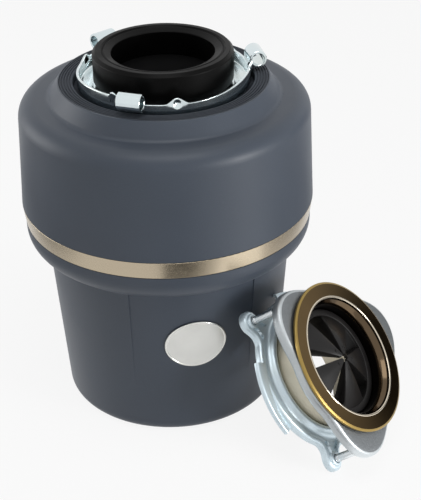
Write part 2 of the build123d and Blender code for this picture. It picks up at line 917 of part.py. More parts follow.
def mounting_screw(angle):
    """Slotted screw whose point bears on the back of the backup flange."""
    tip = -backup_back - backup_play
    seat = -mount_web_depth - screw_tail
    shank = rod(screw_radius, seat, tip, screw_circle)
    head = rod(screw_head_radius, seat - screw_head_height, seat, screw_circle)
    slot = Pos(screw_circle, 0, seat - screw_head_height) * Box(
        screw_slot, 3 * screw_head_radius, screw_head_height)
    root = screw_radius - thread_depth
    threads = []
    for i in range(thread_turns):
        middle = -mount_web_depth + ear_boss_height * 2 - thread_pitch * i
        groove = turned([
            (root, middle),
            (screw_radius + CUT, middle + thread_pitch / 2 + CUT / 4),
            (screw_radius + CUT, middle - thread_pitch / 2 - CUT / 4),
        ])
        threads.append(Pos(screw_circle, 0, 0) * groove)
    return Rot(0, 0, angle) * without(shank + head - slot, threads)


def snap_ring():
    middle = tail_outer - clip_bite + clip_wire + skin_gap
    section = Plane.XZ * Pos(middle, clip_height()) * Circle(clip_wire - skin_gap)
    return Rot(0, 0, screw_angle) * revolve(section, Axis.Z, 360.0 - clip_gap_angle)


def splash_baffle():
    outer = tail_bore - baffle_gap
    sleeve = turned([
        (outer, -baffle_top - baffle_length),
        (outer, -baffle_top, baffle_wall / 2),
        (baffle_eye, -baffle_top, baffle_wall / 3),
        (baffle_eye, -baffle_top - baffle_wall),
        (outer - baffle_wall, -baffle_top - 2 * baffle_wall),
        (outer - baffle_wall, -baffle_top - baffle_length),
    ])
    root = -baffle_top - baffle_wall / 2
    fin = turned([
        (fin_tip, -fin_tip_depth),
        (baffle_eye + baffle_wall / 2, root + fin_thick / 2),
        (baffle_eye + baffle_wall / 2, root - fin_thick / 2),
        (fin_tip, -fin_tip_depth - fin_thick),
    ], fin_angle, -fin_angle / 2)
    dimple = rod(fin_dimple, -baffle_top, 0, fin_dimple_place)
    return joined([sleeve] + around(fin - dimple, fin_count, fin_first))


def lean():
    """Turn from the sink mount's own axes to the way it leans."""
    azimuth = math.radians(lean_azimuth)
    elevation = math.radians(lean_elevation)
    axis = (
        math.cos(azimuth) * math.cos(elevation),
        math.sin(azimuth) * math.cos(elevation),
        math.sin(elevation),
    )
    down = (
        math.cos(azimuth) * math.sin(elevation),
        math.sin(azimuth) * math.sin(elevation),
        -math.cos(elevation),
    )
    return Plane(origin=(0, 0, 0), x_dir=down, z_dir=axis)


unit = {
    "lower_housing": lower_housing(),
    "upper_shroud": upper_shroud(),
    "trim_band": trim_band(),
    "badge_plate": badge_plate(),
    "vibration_ring": vibration_ring(),
    "mounting_neck": mounting_neck(),
    "lower_mounting_ring": lower_mounting_ring(),
    "hopper": hopper(),
    "hopper_gasket": hopper_gasket(),
    "hopper_screws": hopper_screws(),
    "sound_jacket": sound_jacket(),
    "dishwasher_inlet": dishwasher_inlet(),
    "inlet_plug": inlet_plug(),
    "grind_ring": grind_ring(),
    "turntable": turntable(),
    "turntable_nut": turntable_nut(),
    "impeller_pins": impeller_pins(),
    "impeller_a": impeller(0),
    "impeller_b": impeller(180),
    "upper_end_frame": upper_end_frame(),
    "shaft_seal": shaft_seal(),
    "upper_bearing": upper_bearing(),
    "lower_bearing": lower_bearing(),
    "motor_shaft": motor_shaft(),
    "rotor": rotor(),
    "stator_core": stator_core(),
    "stator_windings": stator_windings(),
    "lower_end_frame": lower_end_frame(),
    "through_bolts": through_bolts(),
    "terminal_cover": terminal_cover(),
    "cover_screws": cover_screws(),
    "overload_protector": overload_protector(),
    "reset_button": reset_button(),
    "start_switch": start_switch(),
}

sink_mount = {
    "sink_flange": sink_flange(),
    "fibre_gasket": fibre_gasket(),
    "backup_flange": backup_flange(),
    "upper_mounting_ring": upper_mounting_ring(),
    "snap_ring": snap_ring(),
    "splash_baffle": splash_baffle(),
}
for number in range(screw_count):
    angle = screw_angle + number * 360.0 / screw_count
    sink_mount[f"mounting_screw_{number + 1}"] = mounting_screw(angle)

# The leaning sink mount stands on its lowest point
leaning = {name: lean().location * shape for name, shape in sink_mount.items()}
lowest = min(shape.bounding_box().min.Z for shape in leaning.values())
stand = Pos(mount_x, mount_y, -lowest)

os.makedirs("parts", exist_ok=True)
for name, shape in unit.items():
    export_step(shape, f"parts/{name}.step")
for name, shape in leaning.items():
    export_step(stand * shape, f"parts/{name}.step")
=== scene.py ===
"""Looks of a kitchen garbage disposal and of the sink mount that leans beside it."""

import json
import math

import bmesh
import bpy
from bpy.props import FloatProperty, FloatVectorProperty, IntProperty, PointerProperty
from bpy.types import Operator, Panel, PropertyGroup
from mathutils import Matrix, Vector


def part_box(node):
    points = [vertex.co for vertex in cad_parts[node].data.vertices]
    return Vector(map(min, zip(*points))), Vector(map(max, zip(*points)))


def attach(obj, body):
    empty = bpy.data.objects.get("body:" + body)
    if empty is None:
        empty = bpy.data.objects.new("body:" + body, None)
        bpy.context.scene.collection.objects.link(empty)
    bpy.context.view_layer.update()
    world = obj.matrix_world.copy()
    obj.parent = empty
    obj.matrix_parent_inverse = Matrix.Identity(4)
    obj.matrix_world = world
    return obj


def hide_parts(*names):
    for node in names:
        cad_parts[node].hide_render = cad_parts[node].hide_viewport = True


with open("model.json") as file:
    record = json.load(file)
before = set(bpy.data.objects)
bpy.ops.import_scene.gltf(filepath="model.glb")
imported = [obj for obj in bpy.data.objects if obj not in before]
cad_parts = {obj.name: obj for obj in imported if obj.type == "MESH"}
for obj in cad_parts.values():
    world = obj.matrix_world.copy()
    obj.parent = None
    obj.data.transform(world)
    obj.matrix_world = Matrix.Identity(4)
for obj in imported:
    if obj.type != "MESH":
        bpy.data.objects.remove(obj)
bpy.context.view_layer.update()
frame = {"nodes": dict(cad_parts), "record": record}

bl_info = {
    "name": "Garbage disposal looks",
    "version": (1, 0, 0),
    "blender": (4, 5, 0),
    "location": "3D View > Sidebar > Disposal",
    "description": "Dresses the solids of a kitchen garbage disposal and of its sink mount",
    "category": "Object",
}

MM = 0.001
RING_STEPS = 192
ARC_STEPS = 6
STRAIGHT = math.radians(179)
LONGEST_ROUND = 0.49
SHARP_ANGLE = math.radians(38)
WHITE = (1.0, 1.0, 1.0, 1.0)


def linear(red, green, blue):
    """Linear colour of display values from 0 to 1."""
    return tuple(c / 12.92 if c <= 0.04045 else ((c + 0.055) / 1.055) ** 2.4 for c in (red, green, blue))


def colour(name, description, value):
    return FloatVectorProperty(
        name=name, description=description, subtype="COLOR", size=3, min=0.0, max=1.0, default=linear(*value)
    )


def length(name, description, millimetres):
    return FloatProperty(
        name=name, description=description, subtype="DISTANCE", unit="LENGTH",
        min=0.0, default=millimetres * MM,
    )


def angle(name, description, degrees):
    return FloatProperty(
        name=name, description=description, subtype="ANGLE", unit="ROTATION", default=math.radians(degrees)
    )


def watts(name, description, power):
    return FloatProperty(name=name, description=description, subtype="POWER", min=0.0, default=power)


def integer(name, description, number, least):
    return IntProperty(name=name, description=description, default=number, min=least)


class CasingLook(PropertyGroup):
    """Colours of the casing, its trim band and its plate."""

    body: colour("Body", "Moulded plastic of both casing halves", (0.250, 0.280, 0.325))
    band: colour("Band", "Champagne metal of the trim band", (0.72, 0.67, 0.585))
    plate: colour("Plate", "Bare oval plate", (0.87, 0.87, 0.855))
    rubber: colour("Rubber", "Black rubber of the neck", (0.017, 0.016, 0.016))
    ring_rubber: colour("Ring rubber", "Dark grey rubber of the vibration ring", (0.285, 0.300, 0.328))


class LockRingSizes(PropertyGroup):
    """Sizes of the pressed locking ring round the mouth."""

    sheet: length("Sheet", "Thickness of the pressed sheet", 2.0)
    radius: length("Radius", "Outer radius of the standing rim", 63.5)
    bend: length("Bend", "Outer radius of the bend between web and rim", 4.5)
    eye: length("Eye", "Radius of the hole round the neck", 48.9)
    first_lug: angle("First lug", "Place of the first rolled lug round the axis", -110.0)
    lug_radius: length("Lug radius", "Outer radius of a rolled lug", 6.5)
    lug_wall: length("Lug wall", "Thickness of the rolled sheet in a lug", 1.9)
    lug_length: length("Lug length", "Length of a rolled lug", 17.5)
    lug_reach: length("Lug reach", "Distance of a lug's centre from the axis", 69.0)
    lug_rise: length("Lug rise", "Height of a lug's centre above the ring's underside", 16.2)
    low_rim: length("Low rim", "Height of the rim beside a lug", 12.4)
    high_rim: length("High rim", "Height of the rim where it is tallest", 16.0)
    crimp_rise: length("Crimp rise", "How far a crimp stands above the rim", 4.2)


class SinkMountSizes(PropertyGroup):
    """Sizes of the sink mount along and round its own axis."""

    flange: length("Flange", "Outer radius of the sink flange", 58.4)
    mouth: length("Mouth", "Radius of the bright lip of the mouth", 46.4)
    tail: length("Tail", "Outer radius of the tailpiece", 43.8)
    tail_end: length("Tail end", "Depth of the tailpiece's end", 54.0)
    sheet: length("Sheet", "Thickness of the flange's sheet", 1.5)
    edge: length("Edge", "Depth of the flange's turned edge", 2.6)
    funnel: length("Funnel", "Depth of the funnel", 6.0)
    # Between twice the funnel's depth and this depth, the bore is painted near black as shade.
    bare: length("Bare", "Depth below which the bore is bare steel", 31.0)
    groove: length("Groove", "Depth of the clip groove's middle below the face", 41.9)
    groove_half: length("Half groove", "Half of the clip groove's width", 1.4)
    groove_deep: length("Groove depth", "How far the clip groove cuts in", 0.7)
    screw_circle: length("Screw circle", "Radius of the circle of screws", 68.6)
    first_screw: angle("First screw", "Place of the first screw round the axis", -37.0)
    screw: length("Screw", "Radius of a screw's shank", 3.0)
    pitch: length("Pitch", "Pitch of a screw's thread", 1.25)


class StageLook(PropertyGroup):
    """Light and floor."""

    lens: FloatProperty(
        name="Lens", description="Focal length in millimetres on a 36 mm sensor", min=10.0, default=100.8
    )
    key: watts("Key", "Power of the key light", 10.0)
    rim: watts("Rim", "Power of the rim light", 5.5)
    top: watts("Top", "Power of the top light", 5.0)
    strip: watts("Strip", "Power of the low strip", 0.14)
    ambient: FloatProperty(name="Ambient", description="Strength of the even light", min=0.0, default=0.27)
    floor: colour("Floor", "Plain pale floor", (0.98, 0.98, 0.98))


class Wire:
    """A node's output, so that shader maths reads as Python."""

    def __init__(self, finish, socket):
        self.finish = finish
        self.socket = socket

    def __add__(self, other):
        return self.finish.maths("ADD", self, other)

    def __radd__(self, other):
        return self.finish.maths("ADD", other, self)

    def __sub__(self, other):
        return self.finish.maths("SUBTRACT", self, other)

    def __rsub__(self, other):
        return self.finish.maths("SUBTRACT", other, self)

    def __mul__(self, other):
        return self.finish.maths("MULTIPLY", self, other)

    def __rmul__(self, other):
        return self.finish.maths("MULTIPLY", other, self)


class Finish:
    """The node tree of one material."""

    def __init__(self, tree):
        self.tree = tree
        tree.nodes.clear()

    def add(self, kind, settings=None, sockets=None, out=0):
        """Adds a node: its settings first, then the values or links of its sockets."""
        node = self.tree.nodes.new(kind)
        for key, value in (settings or {}).items():
            setattr(node, key, value)
        for key, value in (sockets or {}).items():
            if isinstance(value, Wire):
                self.tree.links.new(value.socket, node.inputs[key])
            else:
                node.inputs[key].default_value = value
        return Wire(self, node.outputs[out]) if node.outputs else node

    def maths(self, operation, first, second=0.0):
        """A Math node, on which the operators of a wire rest."""
        return self.add("ShaderNodeMath", {"operation": operation}, {0: first, 1: second})

    def place(self):
        """The place in the object's axes."""
        return self.add("ShaderNodeTexCoord", out="Object")

    def own_place(self, middle, turn):
        """The place in a piece's own axes, from its middle and its turn."""
        shifted = self.add("ShaderNodeVectorMath", {"operation": "SUBTRACT"}, {0: self.place(), 1: middle})
        sockets = {"Vector": shifted, "Rotation": turn}
        return self.add("ShaderNodeVectorRotate", {"rotation_type": "EULER_XYZ"}, sockets)

    def parts(self, vector):
        """The three parts of a vector."""
        split = self.add("ShaderNodeSeparateXYZ", None, {0: vector})
        return [Wire(self, socket) for socket in split.socket.node.outputs]

    def noise(self, scale, detail=3.0, vector=None, roughness=0.55):
        sockets = {"Vector": vector or self.place(), "Scale": scale, "Detail": detail, "Roughness": roughness}
        return self.add("ShaderNodeTexNoise", {"noise_dimensions": "3D"}, sockets)

    def between(self, value, low, high, start=0.0, end=1.0):
        """A value from low to high, brought to the span from start to end."""
        sockets = {"Value": value, "From Min": low, "From Max": high, "To Min": start, "To Max": end}
        return self.add("ShaderNodeMapRange", {"clamp": True}, sockets)

    def blend(self, factor, first, second):
        """A mix of two colours, whose sockets on the node are 6 and 7."""
        sockets = {0: factor, 6: opaque(first), 7: opaque(second)}
        return self.add("ShaderNodeMix", {"data_type": "RGBA"}, sockets, out=2)

    def bump(self, height, distance, strength=1.0):
        sockets = {"Height": height, "Distance": distance, "Strength": strength}
        return self.add("ShaderNodeBump", None, sockets)

    def surface(self, **sockets):
        """Ends the tree with a shader, whose sockets have underscores for spaces."""
        inputs = {name.replace("_", " "): value for name, value in sockets.items()}
        shader = self.add("ShaderNodeBsdfPrincipled", None, inputs)
        self.add("ShaderNodeOutputMaterial", None, {"Surface": shader})


def new_finish(name):
    """A new material and its node tree."""
    material = bpy.data.materials.new(name)
    material.use_nodes = True
    return material, Finish(material.node_tree)


def as_material(lay_out):
    """Turns a function that lays out nodes into one that gives the named material, made at its first use."""

    def named(name, *args, **settings):
        name = f"look_{name}"
        if name not in bpy.data.materials:
            lay_out(new_finish(name)[1], *args, **settings)
        return bpy.data.materials[name]

    return named


def shade(tone, factor):
    """A colour made darker or lighter."""
    return tuple(min(1.0, c * factor) for c in tone)


def opaque(tone):
    """A plain colour with its alpha. A link stays as it is."""
    return (*tone, 1.0) if isinstance(tone, tuple) else tone


@as_material
def moulded(f, tone, grain=1500.0, relief=0.00006, gloss=0.42, shine=0.42):
    """Satin moulded plastic: fine spark grain, faint cloudiness, handled patches."""
    cloud = f.between(f.noise(9.0, 3.0), 0.35, 0.65)
    speck = f.noise(grain, 2.0)
    base = f.blend(cloud, shade(tone, 0.94), shade(tone, 1.05))
    base = f.blend(f.between(speck, 0.45, 0.75, 0.0, 0.3), base, shade(tone, 1.4))
    rough = gloss + cloud * 0.05 + f.between(f.noise(38.0, 4.0), 0.5, 0.8) * 0.04
    f.surface(Base_Color=base, Roughness=rough, Specular_IOR_Level=shine, Normal=f.bump(speck, relief, 0.5))


@as_material
def rubber(f, tone, gloss=0.42, dust=0.03, shine=0.07):
    """Black rubber with a soft sheen, faint dust in random patches and fine mould texture."""
    film = f.between(f.noise(26.0, 5.0), 0.45, 0.8)
    fine = f.noise(1900.0, 3.0)
    base = f.blend(film * dust, tone, shade(tone, 4.5))
    rough = gloss + film * 0.2 + f.between(fine, 0.3, 0.7) * 0.06
    f.surface(Base_Color=base, Roughness=rough, Specular_IOR_Level=shine, Normal=f.bump(fine, 0.00005, 0.6))


@as_material
def turned_metal(f, tone, gloss=0.2, lines=5200.0, cloud=0.3, axes=None):
    """Metal brushed or turned round an axis: fine rings with drifting tone."""
    x, y, z = f.parts(f.own_place(*axes) if axes else f.place())
    reach = f.maths("SQRT", x * x + y * y)
    swing = f.maths("ARCTAN2", y, x)
    rings = f.add("ShaderNodeCombineXYZ", None, {0: swing * 0.02, 1: reach, 2: z})
    scratch = f.noise(lines, 2.0, rings)
    drift = f.between(f.noise(18.0, 4.0), 0.3, 0.7)
    base = f.blend(drift * cloud, tone, shade(tone, 0.72))
    base = f.blend(f.between(scratch, 0.4, 0.8, 0.0, 0.12), base, shade(tone, 1.2))
    rough = gloss + drift * 0.07 + f.between(scratch, 0.3, 0.7) * 0.08
    f.surface(Base_Color=base, Metallic=1.0, Roughness=rough, Normal=f.bump(scratch, 0.000012, 0.5))


@as_material
def zinc_plate(f, tone, gloss=0.2, metal=1.0):
    """Bright zinc plating: bluish clouds, yellow tinges and pressed waviness."""
    cloud = f.between(f.noise(60.0, 5.0), 0.35, 0.7)
    tinge = f.between(f.noise(33.0, 2.0), 0.52, 0.75)
    base = f.blend(cloud * 0.25, tone, shade(tone, 0.8))
    base = f.blend(tinge * 0.2, base, linear(0.82, 0.82, 0.74))
    fine = f.noise(900.0, 3.0)
    rough = gloss + cloud * 0.08 + f.between(fine, 0.4, 0.7) * 0.04
    wave = f.noise(140.0, 2.0) + fine * 0.12
    f.surface(Base_Color=base, Metallic=metal, Roughness=rough, Normal=f.bump(wave, 0.00004, 0.18))


@as_material
def threaded(f, tone, pitch, axes):
    """Zinc-plated screw with its thread rolled along an axis, and painted shade in the thread's valleys."""
    along = f.parts(f.own_place(*axes))[2]
    thread = f.maths("PINGPONG", along, pitch / 2) * (2.0 / pitch)
    cloud = f.between(f.noise(90.0, 4.0), 0.35, 0.7)
    # Painted shade: the thread's valleys are darkened to seven tenths of the tone.
    base = f.blend(1 - thread, tone, shade(tone, 0.7))
    base = f.blend(cloud * 0.3, base, shade(tone, 0.8))
    f.surface(Base_Color=base, Metallic=1.0, Roughness=0.2 + cloud * 0.08, Normal=f.bump(thread, 0.0003, 0.6))


@as_material
def cast_metal(f, tone, gloss=0.46, grain=750.0, relief=0.00016, metal=1.0):
    """Tumbled casting: pebbled skin whose high spots are painted paler as a highlight."""
    pebble = f.noise(grain, 4.0)
    patch = f.between(f.noise(24.0, 4.0), 0.35, 0.7)
    base = f.blend(patch * 0.4, tone, shade(tone, 0.82))
    # Painted highlight: the pebbles' high points are lightened to 1.25 of the tone.
    base = f.blend(f.between(pebble, 0.5, 0.75, 0.0, 0.4), base, shade(tone, 1.25))
    rough = gloss + patch * 0.1 + f.between(pebble, 0.3, 0.7) * 0.08
    f.surface(Base_Color=base, Metallic=metal, Roughness=rough, Normal=f.bump(pebble, relief, 0.7))


@as_material
def polished(f, tone, gloss=0.07, metal=1.0, cloud=0.25):
    """Polished plated metal with faint wipe marks."""
    smear = f.between(f.noise(45.0, 5.0), 0.4, 0.75)
    fine = f.noise(2200.0, 2.0)
    base = f.blend(smear * cloud, tone, shade(tone, 0.7))
    rough = gloss + smear * 0.05 + f.between(fine, 0.4, 0.7) * 0.02
    f.surface(Base_Color=base, Metallic=metal, Roughness=rough, Normal=f.bump(fine, 0.000008, 0.4))


@as_material
def layered(f, tone, pitch, gloss=0.4):
    """Stacked sheets or wound wire: fine bands along the height."""
    height = f.parts(f.place())[2]
    edge = f.between(f.maths("FRACT", height * (1.0 / pitch)), 0.0, 0.35)
    drift = f.between(f.noise(40.0, 4.0), 0.35, 0.7)
    base = f.blend(1 - edge, tone, shade(tone, 0.45))
    base = f.blend(drift * 0.3, base, shade(tone, 0.75))
    rough = gloss + drift * 0.12
    f.surface(Base_Color=base, Metallic=1.0, Roughness=rough, Normal=f.bump(edge, 0.0002, 0.6))


@as_material
def foam(f, tone):
    """Open foam with pits, painted darker in the pits as shade."""
    pits = f.noise(420.0, 5.0, roughness=0.7)
    # Painted shade: low places of the pits are darkened to four tenths of the tone.
    base = f.blend(f.between(pits, 0.35, 0.6), shade(tone, 0.4), tone)
    f.surface(Base_Color=base, Roughness=0.9 + pits * 0.05, Normal=f.bump(pits, 0.0006, 0.8))


def round_corners(points):
    """Closed outline of (radius, height, corner round) points, with its corners as arcs."""
    places = [Vector(point[:2]) for point in points]
    outline = []
    for i, point in enumerate(points):
        here = places[i]
        before, after = places[i - 1] - here, places[(i + 1) % len(places)] - here
        size = point[2] if len(point) > 2 else 0.0
        turn = before.angle(after)
        if size <= 0.0 or turn > STRAIGHT:
            outline.append((here.x, here.y))
            continue
        reach = min(size / math.tan(turn / 2), LONGEST_ROUND * min(before.length, after.length))
        before, after = before.normalized(), after.normalized()
        middle = here + (before + after).normalized() * (reach / math.cos(turn / 2))
        first, last = here + before * reach - middle, here + after * reach - middle
        sweep = first.angle_signed(last)
        for step in range(ARC_STEPS + 1):
            spoke = first.copy()
            spoke.rotate(Matrix.Rotation(-sweep * step / ARC_STEPS, 2))
            outline.append((middle.x + spoke.x, middle.y + spoke.y))
    return outline


def swell(share):
    """Smooth hump: one in the middle, nought from a share of one outwards."""
    return math.cos(share * math.pi / 2) ** 2 if abs(share) < 1 else 0.0


def ease(share):
    """Smooth climb from nought to one."""
    share = min(max(share, 0.0), 1.0)
    return share * share * (3 - 2 * share)


def ray(swing):
    """Level direction at an angle round the Z axis."""
    return Vector((math.cos(swing), math.sin(swing), 0.0))


def new_piece(name, points, faces, zones=None, outward=None):
    """A mesh object with its edges sharp by angle, and its normals outward or, on a sheet, to one side."""
    mesh = bpy.data.meshes.new(name)
    mesh.from_pydata([tuple(p) for p in points], [], faces)
    if zones:
        mesh.polygons.foreach_set("material_index", zones)
    work = bmesh.new()
    work.from_mesh(mesh)
    bmesh.ops.recalc_face_normals(work, faces=work.faces)
    if outward and sum(face.normal.dot(outward) * face.calc_area() for face in work.faces) < 0:
        bmesh.ops.reverse_faces(work, faces=work.faces)
    work.to_mesh(mesh)
    work.free()
    mesh.shade_smooth()
    mesh.set_sharp_from_angle(angle=SHARP_ANGLE)
    obj = bpy.data.objects.new(name, mesh)
    bpy.context.scene.collection.objects.link(obj)
    return obj


def sweep_rings(rings, closed=True):
    """Points and faces of a closed section carried through rings of equal length."""
    count = len(rings[0])
    points = [p for ring in rings for p in ring]
    faces = []
    for i in range(len(rings) if closed else len(rings) - 1):
        here, there = i * count, (i + 1) % len(rings) * count
        for j in range(count):
            k = (j + 1) % count
            faces.append((here + j, there + j, there + k, here + k))
    if not closed:
        faces.append(tuple(range(count)))
        faces.append(tuple(reversed(range(len(points) - count, len(points)))))
    return points, faces


def spin(outline, place=Matrix(), steps=RING_STEPS):
    """Points and faces of an outline turned round the Z axis of a place."""
    return sweep_rings([set_round(outline, 2 * math.pi * i / steps, place) for i in range(steps)])


def set_round(outline, swing, place=Matrix()):
    """Points of an outline of (radius, height) at an angle round the Z axis of a place."""
    return [place @ (ray(swing) * radius + Vector((0.0, 0.0, height))) for radius, height in outline]


def merged(*parts):
    """Several lots of points and faces as one."""
    points, faces = [], []
    for some_points, some_faces in parts:
        start = len(points)
        points.extend(some_points)
        faces.extend(tuple(start + i for i in face) for face in some_faces)
    return points, faces


def dress(obj, body, slot, materials, *nodes):
    """Gives a piece its materials and body, and lets it stand for CAD nodes. The slot is not used."""
    for material in materials:
        obj.data.materials.append(material)
    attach(obj, body)
    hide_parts(*nodes)


def paint(material, *nodes):
    """Gives CAD nodes, whose shape stays, a finish."""
    for node in nodes:
        mesh = frame["nodes"][node].data
        mesh.materials.clear()
        mesh.materials.append(material)


def mount_place():
    """Matrix from the sink mount's own axes, face at height 0, to the row's frame."""
    mount = next(mount for mount in frame["record"]["mounts"] if mount["name"] == "sink_clamp")
    axis = Vector(mount["axis"]).normalized()
    down = Vector((0, 0, -1))
    down = (down - axis * down.dot(axis)).normalized()
    side = axis.cross(down)
    turn = Matrix((down, side, axis)).transposed()
    return Matrix.Translation(Vector(mount["pos_m"])) @ turn.to_4x4()


def mount_axes():
    """Middle and turn that bring a place into the sink mount's own axes."""
    place = mount_place()
    return tuple(place.translation), tuple(place.to_3x3().inverted().to_euler("XYZ"))


def screw_swings(sizes):
    """Angles of the three screws round the sink mount's axis."""
    return [sizes.first_screw + number * 2 * math.pi / 3 for number in range(3)]


class DISPOSAL_OT_casing(Operator):
    """Finish the two casing halves and the trim band"""

    bl_idname = "disposal.casing"
    bl_label = "Casing"

    def execute(self, context):
        look = context.scene.disposal_casing
        band = turned_metal("band_metal", tuple(look.band), gloss=0.17, lines=3800.0, cloud=0.05)
        paint(moulded("casing_plastic", tuple(look.body)), "lower_housing", "upper_shroud")
        paint(band, "trim_band")
        return {"FINISHED"}


class DISPOSAL_OT_plate(Operator):
    """Press the bare oval plate, dished inside a raised bright rim"""

    bl_idname = "disposal.plate"
    bl_label = "Plate"

    rim: length("Rim", "Width of the raised rim", 1.3)
    rim_rise: length("Rim rise", "How far the rim stands above the dish", 0.45)
    proud: length("Proud", "How far the dish stands out from the solid's face", 0.1)
    sunk: length("Sunk", "How far the edge goes in behind the solid's face", 0.6)
    steps: integer("Steps", "Points round the plate", 120, 24)
    rim_rows = 5
    dish_shares = (0.86, 0.7, 0.5, 0.3, 0.12)

    def rows(self, half_tall):
        """Share of the oval and height above the solid's face, from the edge over the rim into the dish."""
        rows = [(1.0, -self.sunk), (1.0, self.proud)]
        for step in range(1, self.rim_rows + 1):
            share = step / self.rim_rows
            rise = self.rim_rise * math.sin(math.pi * share)
            rows.append((1 - share * self.rim / half_tall, self.proud + rise))
        return rows + [(share, self.proud) for share in self.dish_shares]

    def execute(self, context):
        look = context.scene.disposal_casing
        low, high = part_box("badge_plate")
        middle, half_tall = (low.z + high.z) / 2, (high.z - low.z) / 2
        spots = [v.co for v in frame["nodes"]["badge_plate"].data.vertices]
        centre = sum(spots, Vector()) / len(spots)
        facing = Matrix.Rotation(math.atan2(centre.y, centre.x), 3, "Z")
        half_wide = max(abs((facing.inverted() @ spot).y) for spot in spots)
        foot, top = min(spot.z for spot in spots), max(spot.z for spot in spots)
        foot_reach, top_reach = (max(s.xy.length for s in spots if s.z == end) for end in (foot, top))
        slope = (top_reach - foot_reach) / (top - foot)
        rings = []
        for share, proud in self.rows(half_tall):
            ring = []
            for i in range(self.steps):
                swing = 2 * math.pi * i / self.steps
                across, up = share * half_wide * math.cos(swing), share * half_tall * math.sin(swing)
                reach = foot_reach + slope * (middle + up - foot) + proud
                ring.append(facing @ Vector((math.sqrt(reach ** 2 - across ** 2), across, middle + up)))
            rings.append(ring)
        points, faces = sweep_rings(rings, closed=False)
        bright_faces = (1 + self.rim_rows) * self.steps
        zones = [int(i < bright_faces) for i in range(len(faces))]
        obj = new_piece("oval_plate", points, faces, zones)
        satin = polished("plate_satin", tuple(look.plate), gloss=0.3, metal=0.75)
        bright = polished("plate_rim", linear(0.92, 0.92, 0.90), gloss=0.16, metal=0.6)
        dress(obj, "housing", "badge", [satin, bright], "badge_plate")
        return {"FINISHED"}


class DISPOSAL_OT_mouth(Operator):
    """Finish the rubber neck and the vibration ring round it"""

    bl_idname = "disposal.mouth"
    bl_label = "Mouth"

    def execute(self, context):
        look = context.scene.disposal_casing
        paint(rubber("neck_rubber", tuple(look.rubber), gloss=0.32, shine=0.08), "mounting_neck")
        paint(rubber("ring_rubber", tuple(look.ring_rubber), gloss=0.5), "vibration_ring")
        return {"FINISHED"}


